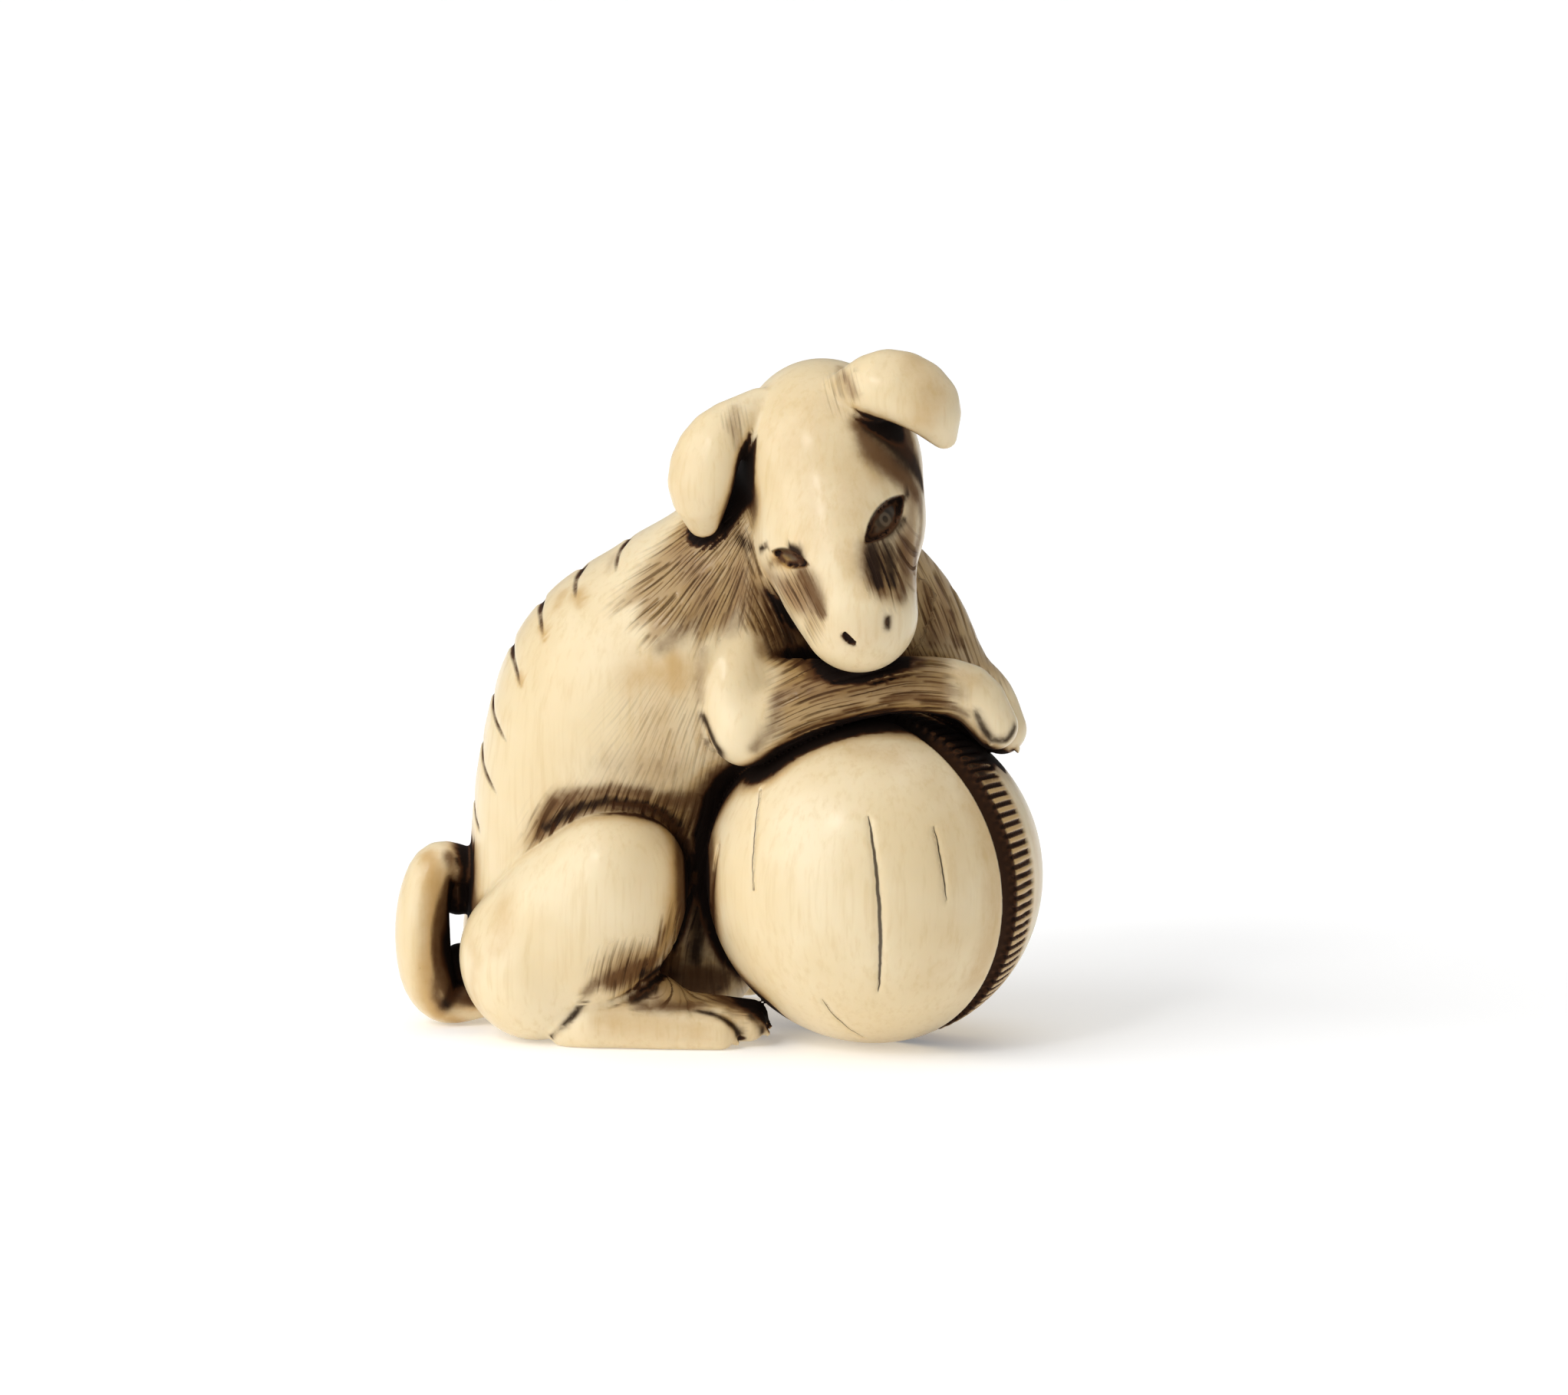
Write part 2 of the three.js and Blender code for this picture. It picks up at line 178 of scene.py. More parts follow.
def ramp(x, low, high):
    t = np.clip((x - low) / (high - low), 0, 1)
    return t * t * (3 - 2 * t)


# Hair is cut as short strokes. A chart says, for each place, how far across and along the
# strokes it lies and how strong they are; a place belongs to one form, by its name.
CROWN_X, CROWN_Z = 3.0, 30.7


def about_crown(p):
    """Angle and distance about the crown of the neck, from which the coat fans out."""
    x, z = CROWN_X - p[:, 0], CROWN_Z - p[:, 2]
    return np.arctan2(z, x), np.hypot(x, z)


def neck_hair(p, on):
    angle, r = about_crown(p)
    end = 12.4 - (angle - 0.66) * 5.2 + 0.6 * np.sin(angle * 23) + 0.4 * np.sin(angle * 57)
    edge = 0.24 + 0.032 * r
    strong = ramp(angle - edge, 0, 0.2) * ramp(-angle, -1.62, -1.4)
    strong = strong * ramp(r, 2, 3.5) * ramp(-r, -end, 2.2 - end)
    return angle * 8.5, r, strong * on["trunk"] * ramp(-p[:, 0], -2.5, -1.0)


def flank_hair(p, on):
    angle, r = about_crown(p)
    knee = np.minimum(hind_legs[0](p), hind_legs[1](p))
    strong = np.maximum(ramp(-knee, -2.3, -0.4), 0.28 * ramp(p[:, 0], -8, -3))
    strong = strong * on["trunk"] * ramp(-p[:, 2], -21, -18)
    return angle * 16, r, strong * ramp(p[:, 0], -11.2, -9.6) * (p[:, 0] < 1.5)


def chest_hair(p, on):
    strong = 0.85 * on["trunk"] * ramp(p[:, 0], 0.8, 2.0)
    strong = strong * ramp(p[:, 2], 17.5, 19) * ramp(-p[:, 2], -31.5, -27)
    return p[:, 0] * 0.94 + p[:, 2] * 0.34, 0.94 * p[:, 2] - 0.34 * p[:, 0], strong


# Seven joints of the spine are cut as bent nicks, from the ridge of the back down each side.
# These are the points of one arm of each nick, from the ridge on.
SPINE_NICKS = [
    [(-4.9, 0.8, 27.3), (-5.5, -1.4, 26.3), (-5.5, -2.8, 25.4)],
    [(-7.5, 0.8, 25.6), (-7.9, -1.4, 24.9), (-7.7, -2.8, 24.0)],
    [(-9.7, 0.8, 23.5), (-9.8, -1.6, 22.9), (-9.45, -3.0, 22.0)],
    [(-11.3, 0.8, 21.1), (-11.1, -1.9, 20.3), (-10.7, -3.3, 19.3)],
    [(-12.3, 0.8, 18.5), (-12.22, -1.4, 17.3), (-11.5, -3.2, 16.2)],
    [(-12.95, 0.8, 15.9), (-12.84, -1.2, 14.5), (-12.1, -2.9, 13.3)],
    [(-13.4, 0.8, 12.7), (-13.4, -0.6, 11.6), (-13.1, -1.5, 10.9)],
]
NICK_DEPTH, NICK_WIDTH = 0.13, 0.23


def onto(form, points):
    """The points moved straight onto the surface of a form."""
    points = np.array(points, float)
    step = np.eye(3) * 0.01
    for _ in range(3):
        slope = np.stack([form(points + s) - form(points - s) for s in step], 1) / 0.02
        points = points - (form(points) / np.maximum((slope**2).sum(1), 0.25))[:, None] * slope
    return points


SPINE_LINES = [onto(trunk, smooth_line(points, 4)) for points in SPINE_NICKS]


def line_distance(p, points):
    """Distance to a bent line, and how far along it the nearest place is, from 0 to 1."""
    nearest, along = np.full(len(p), 99.0), np.zeros(len(p))
    for k, (a, b) in enumerate(zip(points, points[1:])):
        t = np.clip((p - a) @ (b - a) / ((b - a) @ (b - a)), 0, 1)
        d = np.linalg.norm(p - a - t[:, None] * (b - a), axis=1)
        along = np.where(d < nearest, (k + t) / (len(points) - 1), along)
        nearest = np.minimum(nearest, d)
    return nearest, along


def spine_nicks(p):
    """How deep the nicks are, from 0 to 1. Each arm of a nick tapers to its lower end."""
    mirrored = np.stack([p[:, 0], 0.8 - np.abs(p[:, 1] - 0.8), p[:, 2]], 1)
    deep = np.zeros(len(p))
    near = np.flatnonzero((p[:, 0] < -3.5) & (p[:, 2] > 9) & (np.abs(p[:, 1] - 0.8) < 5))
    for points in SPINE_LINES:
        d, along = line_distance(mirrored[near], points)
        width = NICK_WIDTH * (1.2 - 0.7 * along)
        pressed = 1 - 0.5 * ramp(along, 0.2, 0.45) + 0.25 * ramp(along, 0.5, 0.75)
        pressed = pressed - 0.4 * ramp(along, 0.8, 1)
        deep[near] = np.maximum(deep[near], np.clip(1.6 - d / width, 0, 1) * pressed)
    return deep


# ---- Tail ----------------------------------------------------------------------------------
# The tail curls up against the rump. The carver left two low webs between them and pierced
# the slit in the middle, so that the tail doesn't snap off in use.
tail_curl = sweep(
    [
        (-12.7, 0.8, 1.5, 1.2),
        (-14.8, 0.5, 1.2, 1.2),
        (-15.8, 0.2, 2.5, 1.45),
        (-16.1, 0.0, 4.9, 1.54),
        (-15.95, 0.1, 7.3, 1.4),
        (-15.2, 0.5, 8.8, 1.25),
        (-13.4, 1.0, 8.6, 1.0),
    ],
    4,
    (0, 1, 0),
    0.75,
)
web_top = sweep([(-14.3, 1.3, 7.9, 1.0), (-14.2, 1.5, 6.9, 1.1)])
web_foot = sweep([(-14.1, 1.5, 3.3, 1.0), (-14.2, 1.3, 1.4, 1.1)])


def tail(p):
    return join(tail_curl(p), np.minimum(web_top(p), web_foot(p)), 0.3)


# ---- Hind legs -----------------------------------------------------------------------------
# Two folded hind legs mirror each other about the middle of the rump, each with a smooth
# thigh and knee, a hock and a long foot with four toes. The claws are small stained points.
MIDLINE = 0.8  # y between the legs
TOES = ((7.9, 0.0, 0.85), (6.95, 1.65, 1.2), (5.95, 1.75, 1.4), (5.0, 0.75, 1.3))  # out, tip x, z


def hind_leg(side):
    def out(rows):
        return [(x, MIDLINE + side * y, z, r) for x, y, z, r in rows]

    thigh = sweep(out([(-10.0, 4.1, 4.6, 4.04), (-8.0, 5.0, 6.9, 4.1), (-5.7, 5.6, 8.9, 3.87)]), 3)
    shin = sweep(out([(-5.6, 5.7, 8.7, 3.8), (-5.8, 5.7, 7.0, 3.85), (-6.9, 5.7, 5.3, 3.5)]), 3)
    hock = sweep(out([(-9.8, 5.0, 3.8, 3.83), (-6.8, 5.6, 4.8, 3.4)]), 2)
    instep = sweep(out([(-7.8, 6.5, 1.2, 1.58), (-3.6, 6.2, 2.0, 1.9)]))
    toes = []
    for y, tip, z in TOES:
        root = (-6.7, 0.4 * y + 4.1, 1.3, 1.33)
        knuckle = (-3.2, 0.55 * y + 3.2, z + 0.3, 1.33)
        toes.append(sweep(out([root, knuckle, (tip, y, z, 1.0)]), 2))

    def leg(p):
        foot = toes[0](p)
        for toe in toes[1:]:
            foot = join(foot, toe(p), 0.2)
        upper = join(join(thigh(p), shin(p), 1), hock(p), 0.8)
        return join(upper, join(foot, instep(p), 0.7), 0.3)

    return leg


hind_legs = [hind_leg(-1), hind_leg(1)]
hind_claws = [
    sweep(
        [
            (tip + 0.62, MIDLINE + side * y, z - 0.1, 0.36),
            (tip + 1.02, MIDLINE + side * y, z - 0.55, 0.2),
        ]
    )
    for side in (-1, 1)
    for y, tip, z in TOES
]


def hock_hair(p, on):
    y = np.abs(p[:, 1] - MIDLINE)
    q = np.stack([p[:, 0], y, p[:, 2]], 1)
    heel = patch(q, (-4.7, 8.0, 4.6), (2.9, 3, 2.2))
    strong = np.maximum(heel, patch(q, (-2.6, 7, 6.0), (1.2, 3, 2.6))) * on["hind legs"]
    return p[:, 0] * 0.97 - p[:, 2] * 0.24, -0.97 * p[:, 2] - 0.24 * p[:, 0], strong


def foot_hair(p, on):
    y = np.abs(p[:, 1] - MIDLINE)
    q = np.stack([p[:, 0], y, p[:, 2]], 1)
    strong = patch(q, (-1.9, 6.6, 2.9), (3.6, 3.2, 1.5))
    return p[:, 2] + 0.7 * y, p[:, 0], strong * on["hind legs"]


# ---- Forelegs ------------------------------------------------------------------------------
# The near foreleg bends at the elbow and lies over the ball under the chin; the far one comes
# round the chest and lays its paw beside the near one.
near_upper_arm = sweep([(1.1, -4.2, 21.7, 2.3), (0.8, -5.8, 19.4, 2.1), (1.4, -6.7, 17.4, 1.9)], 3)
NEAR_FOREARM = [
    (1.8, -6.7, 17.4, 1.9),
    (6.0, -6.8, 19.2, 1.72),
    (10.1, -6.5, 19.8, 1.56),
    (13.4, -6.2, 19.3, 1.6),
    (14.9, -6.4, 17.5, 1.3),
]
near_forearm = sweep(NEAR_FOREARM, 3)
forearm_top = sweep([(2.8, -5.6, 19.9, 1.25), (5.3, -6.0, 20.0, 1.15)])
far_arm = sweep(
    [
        (8.0, 2.4, 22.9, 4.2),
        (10.7, 1.2, 21.1, 3.1),
        (12.9, -1.4, 19.5, 1.95),
        (14.4, -3.4, 18.5, 1.65),
        (15.3, -4.2, 17.0, 1.4),
    ],
    3,
)
paw_fill = sweep([(10.8, -0.6, 18.2, 1.7), (13.9, -2.7, 16.9, 1.5)])
paw_claws = [
    sweep([(14.6, -7.3, 16.9, 0.24), (14.62, -7.3, 16.6, 0.12)]),
    sweep([(15.3, -7.0, 16.8, 0.24), (15.35, -6.95, 16.5, 0.12)]),
    sweep([(16.1, -4.9, 16.1, 0.24), (16.2, -4.9, 15.8, 0.12)]),
]


def forearm_hair(p, on):
    line = smooth_line(NEAR_FOREARM, 6)[:, :3]
    across, along, nearest, gone = np.zeros(len(p)), np.zeros(len(p)), np.full(len(p), 99.0), 0.0
    for a, b in zip(line, line[1:]):
        axis = unit(b - a)
        length = np.linalg.norm(b - a)
        t = np.clip((p - a) @ axis, 0, length)
        away = p - a - t[:, None] * axis
        d = np.linalg.norm(away, axis=1)
        closer = d < nearest
        across = np.where(closer, away @ np.array((-axis[2], 0, axis[0])), across)
        along = np.where(closer, gone + t, along)
        nearest = np.minimum(nearest, d)
        gone += length
    strong = ramp(p[:, 0], 2.2, 4.2) * ramp(-p[:, 0], -13.2, -11.6)
    return across, along, strong * on["near foreleg"]


def shoulder_hair(p, on):
    strong = 0.8 * ramp(p[:, 2], 18.5, 20.5) * on["far foreleg"]
    return p[:, 0] * 0.9 + p[:, 2] * 0.42, -0.9 * p[:, 2] + 0.42 * p[:, 0], strong


# ---- Head ----------------------------------------------------------------------------------
# The head turns down and towards the near side: a round skull, full cheeks and a blunt muzzle,
# with the eyes set in shallow sockets, two nostrils and two flat folded ears.
SKULL_MIDDLE = np.array((6.1, -2.6, 31.2))
NOSE = unit((0.2, -0.637, -0.745))
BROW = np.array((-0.412, -0.736, 0.537))
BROW = unit(BROW - (BROW @ NOSE) * NOSE)
HEAD_AXES = np.array((np.cross(NOSE, BROW), NOSE, BROW))  # across, along the nose, through the brow
EYES = [  # middle, way it faces, lengthwise, half length and half height, in the head's own axes
    ((-3.02, 5.97, 2.18), unit((-0.828, 0.269, 0.492)), unit((-0.51, -0.728, -0.459)), 1.95, 0.6),
    ((2.52, 6.72, 3.53), unit((0.467, 0.214, 0.858)), unit((-0.685, 0.701, 0.198)), 1.3, 0.34),
]
EYEBALL_RADIUS, EYE_SUNK = 3.2, 0.14
muzzle = sweep([(0.5, 4.6, 0.1, 4.3), (0.6, 7.0, 0.1, 3.78), (0.5, 9.4, -0.1, 3.2)], 2)


def about_eye(q, eye):
    """Place lengthwise, up and out from an eye, and how far outside its almond of lids."""
    middle, face, lengthwise, half_length, half_height = eye
    v = q - middle
    a, b, out = v @ lengthwise, v @ np.cross(face, lengthwise), v @ face
    return a, b, out, np.abs(b) - half_height * (1 - (a / half_length) ** 2)


def ellipsoid(q, middle, radii):
    v, r = q - np.array(middle), np.array(radii)
    near = np.linalg.norm(v / r, axis=1)
    far = np.maximum(np.linalg.norm(v / r**2, axis=1), 1e-9)
    return near * (near - 1) / far


def head(p):
    out = np.full(len(p), FAR)
    near = np.flatnonzero(np.linalg.norm(p - SKULL_MIDDLE - 3 * NOSE, axis=1) < 13)
    q = (p[near] - SKULL_MIDDLE) @ HEAD_AXES.T
    skull = ellipsoid(q, (0.1, 0, 0), (5.0, 6.1, 5.2))
    cheeks = ellipsoid(q, (0.85, 3.4, -0.9), (4.9, 3.9, 4.0))
    d = join(join(skull, cheeks, 1), muzzle(q), 1.1)
    for eye in EYES:
        a, b, outward, lids = about_eye(q, eye)
        d = cut(d, np.maximum(np.maximum(lids, -0.5 - outward), outward - 2), 0.12)
        from_back = outward + EYEBALL_RADIUS + EYE_SUNK
        eyeball = np.sqrt(a * a + b * b + from_back**2) - EYEBALL_RADIUS
        d = join(d, np.maximum(eyeball, lids - 0.05), 0.04)
    out[near] = d
    return out


nostrils = [
    sweep([(6.8, -11.3, 23.3, 0.08), (7.05, -11.3, 22.95, 0.15), (7.3, -11.3, 22.8, 0.08)], 3),
    sweep([(9.05, -11.3, 24.3, 0.13), (9.05, -11.3, 23.85, 0.17)]),
]
left_ear = sweep(
    [
        (2.2, -3.4, 34.2, 1.3),
        (-0.1, -4.5, 32.7, 1.8),
        (-0.9, -5.0, 30.7, 1.95),
        (-0.75, -4.6, 28.5, 1.05),
    ],
    3,
    (-0.45, -0.87, 0.24),
    1.55,
)
right_ear = sweep(
    [
        (7.1, -4.7, 35.3, 1.45),
        (9.3, -5.6, 35.9, 2.1),
        (11.1, -5.9, 35.1, 1.95),
        (12.1, -5.8, 33.2, 0.8),
    ],
    3,
    (0.25, -0.78, 0.53),
    1.55,
)


def eye_chart(p):
    """Place lengthwise and up from the nearer eye, and how far outside its lids, in mm."""
    q = (p - SKULL_MIDDLE) @ HEAD_AXES.T
    chart = np.full((len(p), 3), 9.0)
    for eye in EYES:
        a, b, out, lids = about_eye(q, eye)
        here = (np.abs(out) < 1.2) & (np.abs(a) < 3) & (np.abs(b) < 2)
        pupil = 0.0 if eye is EYES[0] else 1.1  # the far eye looks towards its corner
        chart[here] = np.stack([a - pupil, b, lids], 1)[here]
    return chart


def face_hair(p, on):
    q = (p - SKULL_MIDDLE) @ HEAD_AXES.T
    below_right = np.maximum(
        patch(p, (9.0, -10.0, 26.2), (1.5, 2, 2.6)), patch(p, (10.3, -8.2, 26.6), (1.3, 2.5, 2.8))
    )
    below_left = np.maximum(
        patch(p, (4.4, -8.6, 25.2), (1.6, 3, 2.0)), 0.8 * patch(p, (5.3, -9.6, 24.0), (1.0, 2, 1.8))
    )
    strong = np.maximum(below_right, below_left) * on["head"]
    return q[:, 0] + 0.15 * q[:, 1] * (q[:, 0] > 0), q[:, 1], strong


def ear_root_hair(p, on):
    strong = np.maximum(
        patch(p, (6.7, -5.6, 35.7), (1.3, 3, 1.8)), 0.7 * patch(p, (0.9, -5.3, 33.7), (1.0, 3, 1.6))
    )
    return p[:, 0] + 0.25 * p[:, 2], p[:, 2], 0.45 * strong * np.maximum(on["head"], on["ears"])


# ---- Ball ----------------------------------------------------------------------------------
# A ball in two lobes, laced together round a deep notch. The stitches are short cuts in the
# edge of the far lobe. Fine age cracks run down the near lobe.
BALL_RADIUS = 9.14
BALL_MIDDLE = np.array((8.45, -4.2, 9.03))
LACING_AXIS = unit((-0.602, -0.795, -0.079))  # points at the near lobe
NOTCH_RADIUS = 0.58
STITCH_PITCH = 0.585


def about_lacing(p):
    """Distance from the lacing along the ball's axis, and place sideways and up from that axis."""
    v = p - BALL_MIDDLE
    side = unit(np.cross(LACING_AXIS, (0, 0, 1)))
    top = np.cross(side, LACING_AXIS)
    return v @ LACING_AXIS, v @ side, v @ top


def ball(p):
    h, a, b = about_lacing(p)
    out = np.hypot(a, b)
    sphere = np.hypot(out, h) - BALL_RADIUS
    notch = np.hypot(out - BALL_RADIUS - 0.05, h) - NOTCH_RADIUS
    return cut(sphere, notch, 0.15)


def stitches(p):
    """How deep the stitch cuts are, from 0 to 1, and the chart that the stain follows."""
    h, a, b = about_lacing(p)
    arc = np.arctan2(a, b) * BALL_RADIUS
    aside = np.abs(arc / STITCH_PITCH - np.floor(arc / STITCH_PITCH) - 0.5) * STITCH_PITCH
    reach = ramp(-h, 0.35, 0.6) * ramp(h, -2.9, -2.3)
    return np.clip(1.6 - aside / 0.1, 0, 1) * reach, arc, h


# Age cracks on the near lobe: x and z of the upper and lower end, bow to the right, width.
CRACKS = [
    (8.05, 13.6, 8.6, 3.9, 0.32, 0.2),
    (11.55, 13.0, 12.25, 9.0, 0.06, 0.085),
    (2.3, 14.4, 1.9, 9.2, -0.15, 0.05),
    (5.6, 3.4, 7.8, 0.8, -0.25, 0.05),
    (0.05, 11.2, 0.3, 3.2, -0.5, 0.035),
]


def cracks(p):
    deep = np.zeros(len(p))
    for x_top, z_top, x_foot, z_foot, bow, width in CRACKS:
        t = np.clip((p[:, 2] - z_foot) / (z_top - z_foot), 0, 1)
        x = x_foot + (x_top - x_foot) * t + bow * 4 * t * (1 - t)
        gap = np.maximum(width * np.sqrt(4 * t * (1 - t)), 1e-3)
        inside = np.clip(1.5 - np.abs(p[:, 0] - x) / (gap + 0.05), 0, 1)
        deep = np.maximum(deep, inside * (t > 0) * (t < 1))
    return deep * (p[:, 1] < BALL_MIDDLE[1])


# ---- Cord holes ----------------------------------------------------------------------------
# Two holes in the far flank meet inside in a bent channel, for the cord that the netsuke
# hangs from. One mouth is wider, to take the knot.
CORD_MIDDLE, CORD_LEAN = np.array((-4.2, 8.7, 16.5)), 0.45
CORD_RING, CORD_HOLE = 3.5, 1.3


def cord_channel(p):
    v = p - CORD_MIDDLE
    x = v[:, 0] * math.cos(CORD_LEAN) - v[:, 2] * math.sin(CORD_LEAN)
    z = v[:, 0] * math.sin(CORD_LEAN) + v[:, 2] * math.cos(CORD_LEAN)
    ring = np.hypot(np.hypot(x, v[:, 1]) - CORD_RING, z) - CORD_HOLE
    mouth = np.sqrt((x - CORD_RING) ** 2 + v[:, 1] ** 2 + z**2) - CORD_HOLE - 0.35
    return np.minimum(ring, mouth)


# ---- The block is carved -------------------------------------------------------------------
# All forms are joined into one distance and cut out of the block on a fine grid. The surface
# is then engraved, and thinned where it is smooth, which keeps the small facets for the detail.
CELL = 0.13
BLOCK = 4  # cells to a block of the first, rough pass
NEAR_SURFACE = 1.15  # blocks from the surface within which every cell is worked out
POLISHED_AWAY = 0.04  # mm rubbed off all over
MOST_TRIANGLES = 196_000
COARSE_DEPTH, FINE_DEPTH, STITCH_DEPTH, CRACK_DEPTH = 0.07, 0.05, 0.16, 0.09


def puppy(p):
    d = trunk(p)
    for leg in hind_legs:
        d = join(d, leg(p), 0.5)
    d = join(d, tail(p), 0.3)
    d = join(join(d, far_arm(p), 1.4), paw_fill(p), 0.4)
    d = join(d, join(near_upper_arm(p), join(near_forearm(p), forearm_top(p), 0.5), 0.7), 0.3)
    d = join(d, head(p), 0.35)
    for nostril in nostrils:
        d = cut(d, nostril(p), 0.08)
    for ear in (left_ear, right_ear):
        d = join(d, ear(p), 0.3)
    for claw in hind_claws + paw_claws:
        d = join(d, claw(p), 0.06)
    return d


def carving(p):
    """Distance to the finished surface: negative inside."""
    d = cut(np.minimum(puppy(p), ball(p)), cord_channel(p), 0.3)
    return np.maximum(d + POLISHED_AWAY, -p[:, 2])


def in_parts(f, p, size=200_000):
    return np.concatenate([f(p[i : i + size]) for i in range(0, len(p), size)])


low = np.array((-18.4, -14.1, -0.8))
count = np.ceil((np.array((18.4, 11.4, 38.6)) - low) / (CELL * BLOCK)).astype(int)
corners = np.stack(np.meshgrid(*map(np.arange, count), indexing="ij"), -1).reshape(-1, 3)
middles = low + (corners + 0.5 - 0.5 / BLOCK) * CELL * BLOCK
rough = in_parts(carving, middles)
inner = np.stack(np.meshgrid(*[np.arange(BLOCK)] * 3, indexing="ij"), -1).reshape(-1, 3)
cut_blocks = np.abs(rough) < NEAR_SURFACE * CELL * BLOCK
grid = np.repeat(rough.astype(np.float32).reshape(count), BLOCK, 0)
grid = np.repeat(np.repeat(grid, BLOCK, 1), BLOCK, 2)
cells = (corners[cut_blocks][:, None] * BLOCK + inner).reshape(-1, 3)
grid[tuple(cells.T)] = in_parts(carving, low + cells * CELL)

solid = openvdb.FloatGrid(float(FAR))
solid.copyFromArray(grid)
points, _, quads = solid.convertToPolygons(isovalue=0.0, adaptivity=0.0)
points = low + points * CELL


def owners(p):
    """How far each place belongs to each form: 1 on it, 0 where another one covers it."""
    forms = {
        "trunk": trunk(p),
        "hind legs": np.minimum(hind_legs[0](p), hind_legs[1](p)),
        "tail": tail(p),
        "near foreleg": np.minimum(np.minimum(near_upper_arm(p), near_forearm(p)), forearm_top(p)),
        "far foreleg": far_arm(p),
        "head": head(p),
        "ears": np.minimum(left_ear(p), right_ear(p)),
        "ball": ball(p),
    }
    least = np.min(list(forms.values()), axis=0)
    return {name: 1 - ramp(d - least, 0.02, 0.25) for name, d in forms.items()}


STROKE = {"pitch": 0.42, "length": 4.2, "width": 0.32}  # mm apart, mm long, share of the pitch


def fraction(x):
    return x - np.floor(x)


def strokes(across, along, pitch, length, width):
    """Tapering cuts side by side, each begun at its own place: 1 in the cut, 0 beside it."""
    sway = 0.5 * np.sin(0.35 * along + 0.5 * across) + 0.12 * np.sin(1.3 * along - 0.9 * across)
    across = across + pitch * sway
    lane = np.floor(across / pitch)
    aside = np.abs(across / pitch - lane - 0.5)
    first, second = fraction(lane * 0.618), fraction(lane * 0.7549)
    t = fraction(along / length * (0.8 + 0.4 * second) + first * 3.7)
    half = width * (0.35 + 0.65 * second) * (1 - 0.6 * t)
    return (1 - ramp(aside / half, 0.5, 1)) * ramp(t, 0, 0.12) * (1 - ramp(t, 0.5, 0.98))


def charts(p, on, hairs):
    """One chart out of several, by which is strongest at each place."""
    best = np.zeros((len(p), 3))
    for hair in hairs:
        across, along, strong = hair(p, on)
        better = strong > best[:, 2]
        best[better] = np.stack([across, along, strong], 1)[better]
    return best


COARSE_HAIR = (neck_hair, hock_hair, face_hair, forearm_hair)
FINE_HAIR = (flank_hair, chest_hair, foot_hair, shoulder_hair, ear_root_hair)


def engraved(p):
    """How deep the graver went, in mm."""
    on = owners(p)
    deep = NICK_DEPTH * spine_nicks(p) * on["trunk"]
    for hairs, depth in ((COARSE_HAIR, COARSE_DEPTH), (FINE_HAIR, FINE_DEPTH)):
        across, along, strong = charts(p, on, hairs).T
        deep = np.maximum(deep, depth * strong * strokes(across, along, **STROKE))
    cuts, _, _ = stitches(p)
    on_ball = on["ball"] * np.maximum(STITCH_DEPTH * cuts, CRACK_DEPTH * cracks(p))
    return np.maximum(deep, on_ball)


mesh = bpy.data.meshes.new("puppy_and_ball")
mesh.vertices.add(len(points))
mesh.vertices.foreach_set("co", points.astype(np.float32).ravel())
mesh.loops.add(quads.size)
mesh.loops.foreach_set("vertex_index", quads.astype(np.int32).ravel())
mesh.polygons.add(len(quads))
mesh.polygons.foreach_set("loop_start", np.arange(0, quads.size, 4, dtype=np.int32))
mesh.update(calc_edges=True)
mesh.validate()


def vertex_vectors(of, name):
    values = np.empty(len(of.vertices) * 3, np.float32)
    of.vertices.foreach_get(name, values)
    return values.reshape(-1, 3).astype(float)


points -= in_parts(engraved, points)[:, None] * vertex_vectors(mesh, "normal")
mesh.vertices.foreach_set("co", ((points + TO_FRAME) * MM).astype(np.float32).ravel())
carved = bpy.data.objects.new("puppy_and_ball", mesh)
bpy.context.scene.collection.objects.link(carved)
thin = carved.modifiers.new("thin", "DECIMATE")
thin.ratio = MOST_TRIANGLES / (2 * len(quads))
ready = bpy.context.evaluated_depsgraph_get()
thinned = bpy.data.meshes.new_from_object(carved.evaluated_get(ready))
carved.modifiers.clear()
carved.data = thinned
thinned.shade_smooth()
thinned.validate()
